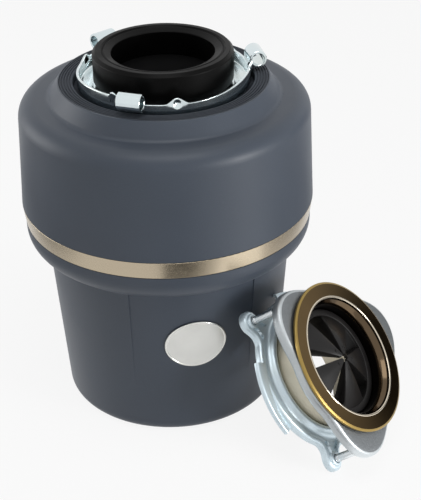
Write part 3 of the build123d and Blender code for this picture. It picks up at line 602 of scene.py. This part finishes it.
class DISPOSAL_OT_lock_ring(Operator):
    """Press the locking ring: web, standing rim, crimps and rolled lugs"""

    bl_idname = "disposal.lock_ring"
    bl_label = "Locking ring"

    sector: angle("Sector", "Angle from one lug to the next", 120.0)
    steps: integer("Steps", "Sections round the ring", 600, 60)
    rows: integer("Rows", "Rows of points up the rim", 9, 2)
    knob_rise: length("Knob rise", "How far a knob stands above the rim", 3.2)
    crimp_lean: length("Crimp lean", "How far a crimp's top leans in", 1.1)
    knob_lean: length("Knob lean", "How far a knob's top leans out", 2.4)
    slope: length("Slope", "Fall of the web from the rim to the eye", 2.6)
    land: length("Land", "Width of the flat round the eye", 2.5)
    dimple: length("Dimple", "Radius of a crimp's dimple", 3.6)
    dimple_deep: length("Dimple depth", "Depth of a crimp's dimple", 1.9)
    dimple_rise: length("Dimple rise", "Height of a dimple's middle above the rim's root", 5.6)
    strip: length("Strip", "Length of the strip from the rim to a lug's middle", 6.5)
    roll: angle("Roll", "How far a lug's strip is rolled up", 348.0)
    roll_steps = 40
    # Turns past a lug in degrees: start and length of a slope, middle and half of a hump
    climb = (36.0, 66.0)
    fall = (109.0, 6.0)
    crimp = (28.0, 8.5)
    knob = (106.0, 4.0)

    def rim_height(self, sizes, turn):
        """Height of the rim's edge and how far it leans in there, at a turn past a lug in degrees."""
        climb, fall = (ease((turn - start) / long) for start, long in (self.climb, self.fall))
        crimp, knob = (swell((turn - middle) / half) for middle, half in (self.crimp, self.knob))
        height = sizes.low_rim + (sizes.high_rim - sizes.low_rim) * climb * (1 - fall)
        height += sizes.crimp_rise * crimp + self.knob_rise * knob
        return height, self.crimp_lean * crimp - self.knob_lean * knob

    def section(self, sizes, swing, low):
        """Points of the sheet's section at an angle round the ring."""
        sheet, eye, radius, bend = sizes.sheet, sizes.eye, sizes.radius, sizes.bend
        turn = math.degrees(swing - sizes.first_lug) % math.degrees(self.sector)
        height, lean = self.rim_height(sizes, turn)
        floor, root, top = low + self.slope, low + bend + self.slope, low + height
        wall = []
        for row in range(1, self.rows):
            share = row / self.rows
            rise = (top - root) * share
            pressed = self.dimple_deep * self.pressing(sizes, turn, rise)
            wall.append((radius - lean * share * share - pressed, root + rise))
        edge, eye_round, land_round = 0.45 * sheet, 0.3 * MM, 1.5 * MM
        outline = round_corners([
            (eye, low, eye_round),
            (eye + self.land, low, land_round),
            (radius, floor, bend),
            (radius, root),
            *wall,
            (radius - lean, top, edge),
            (radius - lean - sheet, top, edge),
            *[(reach - sheet, height) for reach, height in reversed(wall)],
            (radius - sheet, root),
            (radius - sheet, floor + sheet, bend - sheet),
            (eye + self.land, low + sheet, land_round),
            (eye, low + sheet, eye_round),
        ])
        return set_round(outline, swing)

    def pressing(self, sizes, turn, rise):
        """Share of a crimp's dimple at a turn past a lug and a rise above the rim's root."""
        across = math.radians(turn - self.crimp[0]) * sizes.radius
        return swell(math.hypot(across, rise - self.dimple_rise) / self.dimple)

    def lug(self, sizes, swing, low):
        """Strip that leaves the rim and rolls outwards into a tube."""
        outer, inner = sizes.lug_radius, sizes.lug_radius - sizes.lug_wall
        turns = [math.pi - self.roll * i / self.roll_steps for i in range(self.roll_steps + 1)]
        tube = [ray(turn).to_2d() for turn in turns]
        spokes = [Vector((-outer, -self.strip)), *[spoke * outer for spoke in tube]]
        spokes += [*[spoke * inner for spoke in reversed(tube)], Vector((-inner, -self.strip))]
        middle = Matrix.Translation((sizes.lug_reach, 0.0, low + sizes.lug_rise))
        place = Matrix.Rotation(swing, 4, "Z") @ middle
        half, edge = sizes.lug_length / 2, 0.35 * MM
        rings = []
        for along, shrink in ((-half, edge), (-half + edge, 0.0), (half - edge, 0.0), (half, edge)):
            ring = []
            for i, spoke in enumerate(spokes):
                inward = shrink if i < len(spokes) / 2 else -shrink
                spoke = spoke * (1 - inward / max(spoke.length, inner))
                ring.append(place @ Vector((spoke.x, along, spoke.y)))
            rings.append(ring)
        return sweep_rings(rings, closed=False)

    def execute(self, context):
        sizes = context.scene.disposal_lock_ring
        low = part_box("lower_mounting_ring")[0].z
        swings = [2 * math.pi * i / self.steps for i in range(self.steps)]
        lots = [sweep_rings([self.section(sizes, swing, low) for swing in swings])]
        lots += [self.lug(sizes, sizes.first_lug + self.sector * i, low) for i in range(3)]
        obj = new_piece("locking_ring", *merged(*lots))
        finish = zinc_plate("zinc_ring", linear(0.84, 0.88, 0.89), gloss=0.1)
        dress(obj, "lock_ring", "zinc_steel", [finish], "lower_mounting_ring")
        return {"FINISHED"}


class DISPOSAL_OT_inside(Operator):
    """Finish the hopper, the grinding parts and the motor"""

    bl_idname = "disposal.inside"
    bl_label = "Inside"

    def execute(self, context):
        black = moulded("filled_black", linear(0.17, 0.17, 0.175), gloss=0.5)
        steel = turned_metal("ground_stainless", linear(0.76, 0.76, 0.75), gloss=0.26, lines=2600.0)
        zinc = zinc_plate("zinc_fasteners", linear(0.78, 0.80, 0.82), gloss=0.28)
        casting = cast_metal("motor_casting", linear(0.66, 0.67, 0.68))
        bush = turned_metal("bush_bronze", linear(0.72, 0.60, 0.40), gloss=0.35)
        shaft = turned_metal("shaft_steel", linear(0.70, 0.70, 0.70), gloss=0.22)
        core = layered("core_sheets", linear(0.50, 0.50, 0.52), 1.2 * MM)
        copper = layered("winding_copper", linear(0.72, 0.42, 0.24), 0.9 * MM, gloss=0.3)
        paint(black, "hopper", "dishwasher_inlet", "inlet_plug", "overload_protector", "start_switch")
        paint(foam("jacket_foam", linear(0.38, 0.38, 0.39)), "sound_jacket")
        paint(rubber("seal_rubber", linear(0.13, 0.13, 0.13)), "hopper_gasket", "shaft_seal")
        paint(zinc, "hopper_screws", "through_bolts", "cover_screws")
        paint(steel, "grind_ring", "turntable", "turntable_nut", "impeller_pins", "impeller_a", "impeller_b")
        paint(casting, "upper_end_frame", "lower_end_frame")
        paint(bush, "upper_bearing", "lower_bearing")
        paint(shaft, "motor_shaft", "snap_ring")
        paint(core, "rotor", "stator_core")
        paint(copper, "stator_windings")
        return {"FINISHED"}


class DISPOSAL_OT_underside(Operator):
    """Finish the wiring cover and the reset button"""

    bl_idname = "disposal.underside"
    bl_label = "Underside"

    def execute(self, context):
        cover = cast_metal("cover_paint", linear(0.44, 0.44, 0.45), metal=0.0, relief=0.00005)
        paint(cover, "terminal_cover")
        paint(moulded("button_red", linear(0.72, 0.10, 0.07), gloss=0.3), "reset_button")
        return {"FINISHED"}


class DISPOSAL_OT_sink_flange(Operator):
    """Spin the sink flange: bronzed face, gold edge, lip painted bright as a highlight, funnel, tailpiece and
    bore painted near black as shade
    """

    bl_idname = "disposal.sink_flange"
    bl_label = "Sink flange"

    def outline(self, sizes):
        """Section of the flange from the mouth over the face, down the tailpiece and up the bore."""
        mouth, flange, tail, sheet = sizes.mouth, sizes.flange, sizes.tail, sizes.sheet
        bore, slot = tail - sheet, tail - sizes.groove_deep
        slot_top, slot_foot = sizes.groove_half - sizes.groove, -sizes.groove_half - sizes.groove
        return round_corners([
            (mouth - 1.2 * MM, -2.2 * MM, 1.2 * MM),
            (mouth - 0.9 * MM, 0.1 * MM, 0.9 * MM),
            (mouth + 0.3 * MM, 0.1 * MM, 0.5 * MM),
            (mouth + 0.7 * MM, -0.2 * MM, 0.2 * MM),
            (flange - 1.8 * MM, -0.2 * MM, 0.8 * MM),
            (flange, -0.9 * MM, 0.5 * MM),
            (flange, -sizes.edge, 0.3 * MM),
            (flange - sheet, -sizes.edge, 0.3 * MM),
            (flange - sheet, -sheet, 0.2 * MM),
            (mouth + sheet, -sheet, 1.0 * MM),
            (tail, -sizes.funnel, 2.0 * MM),
            (tail, slot_top),
            (slot, slot_top),
            (slot, slot_foot),
            (tail, slot_foot),
            (tail, -sizes.tail_end, 0.4 * MM),
            (bore, -sizes.tail_end, 0.4 * MM),
            (bore, -sizes.bare),
            (bore, -sizes.funnel, sizes.funnel),
        ])

    @staticmethod
    def zone(sizes, first, second):
        """Place on the flange of the strip between two points of the outline."""
        radius, height = (first[0] + second[0]) / 2, (first[1] + second[1]) / 2
        if radius > sizes.flange - 1.6 * MM:
            return "edge"
        if height > -sizes.edge and radius > sizes.mouth + 0.6 * MM:
            return "face"
        # The lip's strip is painted near white as a highlight along the rounded mouth.
        if height > -0.8 * MM and radius > sizes.mouth - 1.4 * MM:
            return "lip"
        if height > -1.2 * sizes.funnel:
            return "funnel"
        if radius > sizes.tail - sizes.sheet / 2 or height < -sizes.bare:
            return "tail"
        # Below the funnel and above the bare steel, the bore is painted near black as shade.
        return "funnel" if height > -2 * sizes.funnel else "bore"

    def execute(self, context):
        sizes = context.scene.disposal_sink_mount
        beige = {"gloss": 0.5, "lines": 2400.0, "cloud": 0.1, "axes": mount_axes()}
        materials = {
            "face": polished("flange_bronze", linear(0.37, 0.30, 0.19), gloss=0.06),
            "edge": polished("edge_gold", linear(0.60, 0.51, 0.30), gloss=0.28),
            # Painted highlight: the rounded lip of the mouth is near white.
            "lip": polished("lip_bright", linear(0.84, 0.80, 0.73), gloss=0.08),
            "funnel": polished("funnel_brown", linear(0.36, 0.305, 0.24), gloss=0.1),
            "tail": turned_metal("tail_beige", linear(0.84, 0.81, 0.74), **beige),
            # Painted shade: the bore inside the tube, down to the bare steel, is near black.
            "bore": polished("bore_dark", linear(0.09, 0.08, 0.07), gloss=0.4),
        }
        outline = self.outline(sizes)
        strips = [self.zone(sizes, *pair) for pair in zip(outline, outline[1:] + outline[:1])]
        zones = [list(materials).index(strip) for strip in strips] * RING_STEPS
        obj = new_piece("sink_flange_polished", *spin(outline, mount_place()), zones)
        dress(obj, "sink_mount", "bronzed_steel", materials.values(), "sink_flange")
        return {"FINISHED"}


class DISPOSAL_OT_backup_flange(Operator):
    """Cast the backup flange with its three lobes, and finish the fibre gasket"""

    bl_idname = "disposal.backup_flange"
    bl_label = "Backup flange"

    front: length("Front", "Depth of the front face below the flange's face", 4.2)
    thick: length("Thickness", "Thickness of the casting", 8.6)
    body: length("Body", "Radius between the lobes", 57.5)
    lobe: length("Lobe", "How far a lobe stands out", 16.9)
    lobe_half: angle("Half lobe", "Half of a lobe's angle", 42.0)
    offset: length("Offset", "How far the casting hangs off the middle", 2.0)
    bore: length("Bore", "Radius of the bore", 51.4)
    border: length("Border", "Width of the sloped border of the front face", 6.0)
    border_fall: length("Border fall", "Fall of the border towards the edge", 0.5)
    soft: length("Soft edge", "Round of the casting's edges", 3.0)
    bore_soft: length("Soft bore", "Round of the bore's edges", 1.0)

    def outer(self, sizes, swing):
        """Radius of the casting's edge at an angle round its axis."""
        turn = (swing - sizes.first_screw + math.pi / 3) % (2 * math.pi / 3) - math.pi / 3
        return self.body + self.lobe * swell(turn / self.lobe_half)

    def execute(self, context):
        sizes = context.scene.disposal_sink_mount
        shift = ray(sizes.first_screw + math.pi / 3) * self.offset
        place = mount_place() @ Matrix.Translation(shift)
        back = self.front + self.thick
        rings = []
        for i in range(2 * RING_STEPS):
            swing = math.pi * i / RING_STEPS
            edge = self.outer(sizes, swing)
            outline = round_corners([
                (self.bore, -self.front, self.bore_soft),
                (edge - self.border, -self.front),
                (edge, -self.front - self.border_fall, self.soft),
                (edge, -back, self.soft),
                (self.bore, -back, self.bore_soft),
            ])
            rings.append(set_round(outline, swing, place))
        points, faces = sweep_rings(rings)
        # The rim runs over the two soft edges, counted along the outline
        rim_start, rim_end = ARC_STEPS + 2, 3 * ARC_STEPS + 3
        zones = [int(rim_start <= i % len(outline) <= rim_end) for i in range(len(faces))]
        obj = new_piece("backup_casting", points, faces, zones)
        skin = cast_metal("cast_aluminium", linear(0.49, 0.505, 0.515), gloss=0.44, relief=0.0005)
        rim = cast_metal("tumbled_rim", linear(0.71, 0.73, 0.74), gloss=0.36)
        dress(obj, "sink_mount", "cast_aluminium", [skin, rim], "backup_flange")
        paint(foam("pressed_fibre", linear(0.50, 0.42, 0.33)), "fibre_gasket")
        return {"FINISHED"}


class DISPOSAL_OT_mounting_ring(Operator):
    """Press the upper mounting ring: bead, channel, ears with a turned skirt, bosses and ramps"""

    bl_idname = "disposal.mounting_ring"
    bl_label = "Mounting ring"

    radius: length("Radius", "Radius of the ring between its ears", 58.6)
    ear: length("Ear", "Half of an ear's width", 8.6)
    fillet: length("Fillet", "Round between ear and ring", 8.0)
    bead: length("Bead", "Depth of the inner bead's crest", 30.7)
    web: length("Web", "Depth of the channel's floor", 35.8)
    crest: length("Crest", "Depth of the brim's crest", 35.1)
    skirt: length("Skirt", "Depth of the skirt's edge", 40.8)
    sheet: length("Sheet", "Thickness of the pressed sheet", 2.0)
    boss: length("Boss", "Outer radius of a screw's boss", 5.4)
    boss_rise: length("Boss rise", "How far a boss stands above the channel's floor", 2.4)
    ramp: length("Ramp", "Outer radius of a ramp", 65.2)
    ramp_lip: length("Ramp lip", "Depth of a ramp's turned edge", 3.6)
    ramp_half: angle("Half ramp", "Half of a ramp's angle", 25.5)
    ramp_turn: angle("Ramp turn", "Place of a ramp past its screw", -66.5)
    ramp_drop: length("Ramp drop", "Depth of a ramp's middle below the channel's floor", 0.6)
    ramp_rise: length("Ramp rise", "Climb of a ramp from end to end", 4.6)
    # Steps along half of the edge between ears, each round of an ear, the channel, the bend and a ramp
    edge_steps, ear_steps, channel_steps, bend_steps, ramp_steps = 16, 12, 10, 5, 24
    # How far the sheet's hole and a boss's bore stand off a screw's shank
    hole_gap, bore_gap = 1.4 * MM, 0.35 * MM
    # Width of the raised brim and its round into the skirt
    brim, bend = 5.6 * MM, 2.8 * MM
    # Radius where the channel's floor starts, in millimetres
    floor = 52.4
    # Bead from the hole's edge outwards: radius and depth below its crest, in millimetres
    bead_section = (
        (44.5, 6.6), (44.5, 2.4), (45.0, 1.0), (46.3, 0.1),
        (47.5, 0.1), (48.8, 1.0), (49.7, 2.7), (50.8, 4.3),
    )
    # Brim: distance in from the edge in millimetres, and share of the climb to its crest
    brim_section = ((5.0, 0.2), (4.3, 0.62), (3.5, 0.92), (2.8, 1.0))

    @staticmethod
    def arc(middle, radius, start, end, steps):
        """Points along an arc, each with its direction from the middle."""
        rays = [ray(start + (end - start) * i / steps).to_2d() for i in range(steps + 1)]
        return [(middle + out * radius, out) for out in rays]

    def border(self, sizes):
        """Points and outward directions along the ring's edge, ear by ear."""
        reach = math.sqrt((self.radius + self.fillet) ** 2 - (self.ear + self.fillet) ** 2)
        turn = math.atan2(self.ear + self.fillet, reach)
        hollow, tip = Vector((reach, -self.ear - self.fillet)), Vector((sizes.screw_circle, 0.0))
        half = self.arc(Vector((0.0, 0.0)), self.radius, -math.pi / 3, -turn, self.edge_steps)
        inward = self.arc(hollow, self.fillet, math.pi - turn, math.pi / 2, self.ear_steps)
        half += [(spot, -out) for spot, out in inward[1:]]
        half += self.arc(tip, self.ear, -math.pi / 2, 0.0, self.ear_steps)[1:]
        flip = Matrix(((1, 0), (0, -1)))
        whole = half + [(flip @ spot, flip @ out) for spot, out in reversed(half[1:-1])]
        border = []
        for swing in screw_swings(sizes):
            turned = Matrix.Rotation(swing, 2)
            border += [(turned @ spot, turned @ out) for spot, out in whole]
        return border

    def column(self, point, outward):
        """Section of the sheet from the hole's edge, over the bead and the channel, to the skirt's edge."""
        out = point.normalized()
        spots = [(out * reach * MM, self.bead + deep * MM) for reach, deep in self.bead_section]
        start, end = out * self.floor * MM, point - outward * self.brim
        for step in range(self.channel_steps + 1):
            spots.append((start.lerp(end, step / self.channel_steps), self.web))
        for inset, share in self.brim_section:
            spots.append((point - outward * inset * MM, self.web + (self.crest - self.web) * share))
        for step in range(1, self.bend_steps + 1):
            swing = math.pi / 2 * step / self.bend_steps
            inset, drop = outward * self.bend * (1 - math.sin(swing)), self.bend * (1 - math.cos(swing))
            spots.append((point - inset, self.crest + drop))
        spots += [(point, (self.crest + self.bend + self.skirt) / 2), (point, self.skirt)]
        return [Vector((spot.x, spot.y, -depth)) for spot, depth in spots]

    def covered(self, sizes, spot):
        """Whether a place lies within a screw's hole, whose edge the boss covers."""
        holes = [ray(swing).to_2d() * sizes.screw_circle for swing in screw_swings(sizes)]
        return any((spot.to_2d() - hole).length < sizes.screw + self.hole_gap for hole in holes)

    def raised_boss(self, sizes, place, swing):
        """Collar round a screw's hole."""
        bore, foot, front = sizes.screw + self.bore_gap, -self.web - self.sheet, self.boss_rise - self.web
        outline = round_corners([
            (bore, foot),
            (self.boss + 1.0 * MM, foot),
            (self.boss, front, 1.2 * MM),
            (bore, front, 0.4 * MM),
        ])
        return spin(outline, place @ Matrix.Translation(ray(swing) * sizes.screw_circle), steps=48)

    def ramp_strip(self, place, middle):
        """Strip that climbs round the rim, cut square at its ends."""
        root, inner = self.radius - self.sheet, self.ramp - self.sheet
        rings = []
        for step in range(self.ramp_steps + 1):
            share = step / self.ramp_steps - 0.5
            depth = self.web + self.ramp_drop + share * self.ramp_rise
            outline = round_corners([
                (root, -depth, 0.4 * MM),
                (self.ramp, -depth, 1.8 * MM),
                (self.ramp, -depth - self.ramp_lip, 0.5 * MM),
                (inner, -depth - self.ramp_lip, 0.5 * MM),
                (inner, -depth - self.sheet, 0.4 * MM),
                (root, -depth - self.sheet, 0.4 * MM),
            ])
            rings.append(set_round(outline, middle + 2 * share * self.ramp_half, place))
        return sweep_rings(rings, closed=False)

    def execute(self, context):
        sizes = context.scene.disposal_sink_mount
        place = mount_place()
        columns = [self.column(*spot) for spot in self.border(sizes)]
        count = len(columns[0])
        spots = [spot for column in columns for spot in column]
        faces = []
        for i in range(len(columns)):
            here, there = i * count, (i + 1) % len(columns) * count
            faces += [(here + j, here + j + 1, there + j + 1, there + j) for j in range(count - 1)]
        centres = [sum((spots[i] for i in face), Vector()) / 4 for face in faces]
        faces = [face for face, centre in zip(faces, centres) if not self.covered(sizes, centre)]
        points = [place @ spot for spot in spots]
        obj = new_piece("mounting_ring_pressing", points, faces, outward=place.col[2].to_3d())
        thicken = obj.modifiers.new("sheet", "SOLIDIFY")
        thicken.thickness = self.sheet
        thicken.offset = -1.0
        soften = obj.modifiers.new("edges", "BEVEL")
        soften.width = 0.35 * MM
        soften.segments = 2
        soften.angle_limit = math.radians(50)
        finish = zinc_plate("zinc_pressing", linear(0.86, 0.92, 0.95), gloss=0.3, metal=0.45)
        dress(obj, "sink_mount", "zinc_steel", [finish], "upper_mounting_ring")
        lots = []
        for swing in screw_swings(sizes):
            lots.append(self.raised_boss(sizes, place, swing))
            lots.append(self.ramp_strip(place, swing + self.ramp_turn))
        dress(new_piece("ring_bosses_and_ramps", *merged(*lots)), "sink_mount", "zinc_steel", [finish])
        return {"FINISHED"}


class DISPOSAL_OT_mount_screws(Operator):
    """Finish the three mounting screws"""

    bl_idname = "disposal.mount_screws"
    bl_label = "Mounting screws"

    def execute(self, context):
        sizes = context.scene.disposal_sink_mount
        finish = threaded("zinc_screws", linear(0.88, 0.90, 0.91), sizes.pitch, mount_axes())
        paint(finish, "mounting_screw_1", "mounting_screw_2", "mounting_screw_3")
        return {"FINISHED"}


class DISPOSAL_OT_baffle(Operator):
    """Mould the splash baffle: a sleeve and five fins with turned-down sides"""

    bl_idname = "disposal.baffle"
    bl_label = "Splash baffle"

    fins: integer("Fins", "Number of fins", 5, 3)
    first: angle("First fin", "Place of the first fin round the axis", -162.0)
    half: angle("Half fin", "Half of a fin's angle", 21.5)
    tip: length("Tip", "Distance of a fin's tip from the axis", 3.0)
    tip_depth: length("Tip depth", "Depth of a fin's tip", 5.2)
    root: length("Root", "Distance of a fin's root from the axis", 38.0)
    root_depth: length("Root depth", "Depth of a fin's root", 15.0)
    crown: length("Crown", "How far a fin is crowned across", 0.9)
    side: length("Side", "Depth of a fin's side at its tip", 2.6)
    side_more: length("Side growth", "How much deeper the side is at the root", 13.0)
    wall: length("Wall", "Thickness of the rubber", 1.6)
    stud: length("Stud", "Distance of a stud from its fin's tip", 5.5)
    sleeve: length("Sleeve", "Outer radius of the sleeve", 41.9)
    sleeve_wall: length("Sleeve wall", "Thickness of the sleeve", 2.2)
    sleeve_lip: length("Sleeve lip", "Inner radius of the sleeve's lip", 36.5)
    sleeve_end: length("Sleeve end", "Depth of the sleeve's end", 30.0)
    fin_steps = 14

    def ridge(self, share):
        """Depth of a fin's middle, part of the way from its tip to its root."""
        return self.tip_depth + (self.root_depth - self.tip_depth) * (0.72 * share + 0.28 * share * share)

    def fin(self, place, swing):
        """Petal, crowned across, whose sides turn down deeper towards its root."""
        facing = place @ Matrix.Rotation(swing, 4, "Z")
        shoulder, corner = -0.2 * MM, -1.2 * MM
        rings = []
        for step in range(self.fin_steps + 1):
            share = step / self.fin_steps
            reach = self.tip + (self.root - self.tip) * share
            wide = reach * math.sin(self.half) + 0.4 * MM
            drop = self.side + self.side_more * share
            crown = self.crown * math.sin(math.pi * min(1.0, share + 0.25))
            top = [(-1.0, -drop), (-1.0, corner), (-0.94, shoulder), (-0.5, crown * 0.75), (0.0, crown)]
            top += [(-across, rise) for across, rise in reversed(top[:-1])]
            inner = wide * max(0.25, 1 - self.wall / wide)
            ring = [(across * wide, rise) for across, rise in top]
            for across, rise in reversed(top):
                ring.append((across * inner, min(rise, 0.0) - (self.wall if rise > corner else 0.0)))
            depth = self.ridge(share)
            rings.append([
                facing @ Vector((math.sqrt(max(reach ** 2 - across ** 2, 0.0)), across, rise - depth))
                for across, rise in ring
            ])
        return sweep_rings(rings, closed=False)

    def raised_stud(self, place, swing):
        """Small raised ring near a fin's tip."""
        depth = self.ridge(self.stud / (self.root - self.tip)) - 0.5 * MM
        spot = ray(swing) * (self.tip + self.stud) - Vector((0.0, 0.0, depth))
        foot, top = -1.2 * MM, 0.6 * MM
        outline = round_corners([
            (0.5 * MM, foot),
            (1.5 * MM, foot),
            (1.4 * MM, top, 0.4 * MM),
            (0.7 * MM, top, 0.3 * MM),
        ])
        return spin(outline, place @ Matrix.Translation(spot), steps=24)

    def execute(self, context):
        place = mount_place()
        lip, bore = self.root_depth - 1.0 * MM, self.sleeve - self.sleeve_wall
        outline = round_corners([
            (self.sleeve, -self.sleeve_end, 0.4 * MM),
            (self.sleeve, -lip, 1.1 * MM),
            (self.sleeve_lip, -lip, 0.7 * MM),
            (self.sleeve_lip, -lip - self.sleeve_wall, 0.7 * MM),
            (bore, -lip - 2 * self.sleeve_wall, 1.0 * MM),
            (bore, -self.sleeve_end, 0.4 * MM),
        ])
        lots = [spin(outline, place)]
        for number in range(self.fins):
            swing = self.first + number * 2 * math.pi / self.fins
            lots += [self.fin(place, swing), self.raised_stud(place, swing)]
        obj = new_piece("baffle_moulding", *merged(*lots))
        finish = rubber("baffle_rubber", linear(0.085, 0.08, 0.08), gloss=0.34, shine=0.25)
        dress(obj, "baffle", "black_rubber", [finish], "splash_baffle")
        return {"FINISHED"}


class DISPOSAL_OT_stage(Operator):
    """Set the camera, the soft light and the pale floor"""

    bl_idname = "disposal.stage"
    bl_label = "Stage"

    camera_place = (0.0, -0.948, 0.6649)
    camera_ahead = (0.029, 0.8636, -0.5033)
    camera_up = (0.0352, 0.5023, 0.864)
    floor_half = 4.0
    floor_white = 0.88
    # Lamps: size, place and target
    lamps = {
        "key": (0.4, (1.15, -0.8, 0.32), (0.0, 0.0, 0.15)),
        "rim": (0.8, (-1.3, 0.35, 0.42), (0.0, 0.0, 0.15)),
        "top": (0.8, (0.05, -0.35, 1.5), (0.0, 0.0, 0.2)),
    }
    strip = (0.14, (0.36, -0.24, 0.004), (0.36, -0.24, 1.0))
    strip_length = 0.5
    strip_turn = math.radians(64)
    # Cards: middle, half length, half width, and first and last tone with the shares where they start and end
    cards = {
        "side": ((1.0, 0.468, -0.002), (0.0, 0.185, -0.3085), (0.0, 0.386, 0.231), (1.0, 0.05, 0.0, 0.21)),
        "front": ((0.078, -0.39, 0.002), (0.096, 0.0, 0.0), (0.012, -0.16, 0.0), (0.04, 0.95, 0.5, 1.0)),
        "left": ((-0.40, 0.10, 0.002), (-0.14, 0.0, 0.0), (0.0, 0.24, 0.0), (0.5, 0.12, 0.0, 0.5)),
        "right": ((0.40, 0.10, 0.002), (0.14, 0.0, 0.0), (0.0, 0.2, 0.0), (0.5, 0.15, 0.0, 0.5)),
    }

    def camera(self, context, look):
        """Camera at the place from which the photo was taken."""
        data = bpy.data.cameras.new("photo_camera")
        data.lens = look.lens
        data.sensor_width = 36.0
        obj = bpy.data.objects.new("photo_camera", data)
        context.scene.collection.objects.link(obj)
        ahead = Vector(self.camera_ahead).normalized()
        right = ahead.cross(Vector(self.camera_up)).normalized()
        turn = Matrix((right, right.cross(ahead), -ahead)).transposed().to_4x4()
        obj.matrix_world = Matrix.Translation(self.camera_place) @ turn
        context.scene.camera = obj

    def seen(self, f):
        """One for camera, mirror and glass rays, so that they meet plain white."""
        outputs = f.add("ShaderNodeLightPath").socket.node.outputs
        rays = [Wire(f, outputs[name]) for name in ("Is Camera Ray", "Is Glossy Ray", "Is Transmission Ray")]
        return f.maths("MINIMUM", rays[0] + rays[1] + rays[2], 1.0)

    def world(self, context, look):
        """Even light, which the camera sees as white."""
        world = bpy.data.worlds.new("soft_white")
        world.use_nodes = True
        context.scene.world = world
        f = Finish(world.node_tree)
        strength = f.between(self.seen(f), 0.0, 1.0, look.ambient, 1.0)
        light = f.add("ShaderNodeBackground", None, {"Color": WHITE, "Strength": strength})
        f.add("ShaderNodeOutputWorld", None, {"Surface": light})

    def sheet(self, name, material, half=1.0):
        """Flat square of the stage, with its material."""
        corners = [(-half, -half, 0.0), (half, -half, 0.0), (half, half, 0.0), (-half, half, 0.0)]
        obj = new_piece(name, corners, [(0, 1, 2, 3)])
        obj.data.materials.append(material)
        return obj

    def floor(self, look):
        """Floor that takes soft shadows and is near white to the camera."""
        material, f = new_finish("floor_white")
        matt = f.add("ShaderNodeBsdfDiffuse", None, {"Color": opaque(tuple(look.floor))})
        white = f.add("ShaderNodeEmission", None, {"Color": WHITE, "Strength": 1.0})
        shader = f.add("ShaderNodeMixShader", None, {0: self.seen(f) * self.floor_white, 1: matt, 2: white})
        f.add("ShaderNodeOutputMaterial", None, {"Surface": shader})
        obj = self.sheet("floor", material, self.floor_half)

    def card(self, name, middle, along, across, tones):
        """Card that only mirrors see, fading from one tone to another between two shares of its length."""
        start, end, first, last = tones
        material, f = new_finish(name)
        tone = f.between(f.parts(f.place())[0], 2 * first - 1, 2 * last - 1, start, end)
        light = f.add("ShaderNodeEmission", None, {"Color": tone, "Strength": 1.0})
        f.add("ShaderNodeOutputMaterial", None, {"Surface": light})
        obj = self.sheet(name, material)
        along, across = Vector(along), Vector(across)
        axes = Matrix((along, across, along.cross(across).normalized())).transposed()
        obj.matrix_world = Matrix.Translation(middle) @ axes.to_4x4()
        obj.visible_camera = obj.visible_diffuse = obj.visible_shadow = obj.visible_transmission = False

    def lamp(self, name, power, size, place, target):
        """Square lamp that faces its target."""
        data = bpy.data.lights.new(name, "AREA")
        data.energy = power
        data.size = size
        obj = bpy.data.objects.new(name, data)
        bpy.context.scene.collection.objects.link(obj)
        obj.location = place
        obj.rotation_euler = (Vector(target) - Vector(place)).to_track_quat("-Z", "Y").to_euler()
        return obj

    def execute(self, context):
        look = context.scene.disposal_stage
        self.camera(context, look)
        self.world(context, look)
        self.floor(look)
        for name, settings in self.lamps.items():
            self.lamp(f"{name}_light", getattr(look, name), *settings)
        strip = self.lamp("strip_light", look.strip, *self.strip)
        strip.data.shape = "RECTANGLE"
        strip.data.size_y = self.strip_length
        strip.rotation_euler = (math.pi, 0.0, self.strip_turn)
        strip.visible_diffuse = strip.visible_camera = strip.visible_transmission = False
        for name, settings in self.cards.items():
            self.card(f"{name}_card", *settings)
        context.scene.view_settings.view_transform = "Standard"
        return {"FINISHED"}


class DISPOSAL_PT_panel(Panel):
    """Lists the sizes, the colours and the steps"""

    bl_idname = "DISPOSAL_PT_panel"
    bl_label = "Garbage disposal"
    bl_space_type = "VIEW_3D"
    bl_region_type = "UI"
    bl_category = "Disposal"

    def draw(self, context):
        for holder in HOLDERS:
            group = getattr(context.scene, holder)
            box = self.layout.box()
            for name in group.bl_rna.properties.keys():
                if name not in ("rna_type", "name"):
                    box.prop(group, name)
        for step in STEPS:
            self.layout.operator(step.bl_idname)


STEPS = (
    DISPOSAL_OT_stage,
    DISPOSAL_OT_casing,
    DISPOSAL_OT_plate,
    DISPOSAL_OT_mouth,
    DISPOSAL_OT_lock_ring,
    DISPOSAL_OT_inside,
    DISPOSAL_OT_underside,
    DISPOSAL_OT_sink_flange,
    DISPOSAL_OT_backup_flange,
    DISPOSAL_OT_mounting_ring,
    DISPOSAL_OT_mount_screws,
    DISPOSAL_OT_baffle,
)
HOLDERS = {
    "disposal_casing": CasingLook,
    "disposal_lock_ring": LockRingSizes,
    "disposal_sink_mount": SinkMountSizes,
    "disposal_stage": StageLook,
}
CLASSES = (*HOLDERS.values(), *STEPS, DISPOSAL_PT_panel)


def register():
    for cls in CLASSES:
        bpy.utils.register_class(cls)
    for holder, group in HOLDERS.items():
        setattr(bpy.types.Scene, holder, PointerProperty(type=group))


def unregister():
    for holder in HOLDERS:
        delattr(bpy.types.Scene, holder)
    for cls in reversed(CLASSES):
        bpy.utils.unregister_class(cls)


def main():
    register()
    for step in STEPS:
        family, name = step.bl_idname.split(".")
        getattr(getattr(bpy.ops, family), name)()


if __name__ == "__main__":
    main()
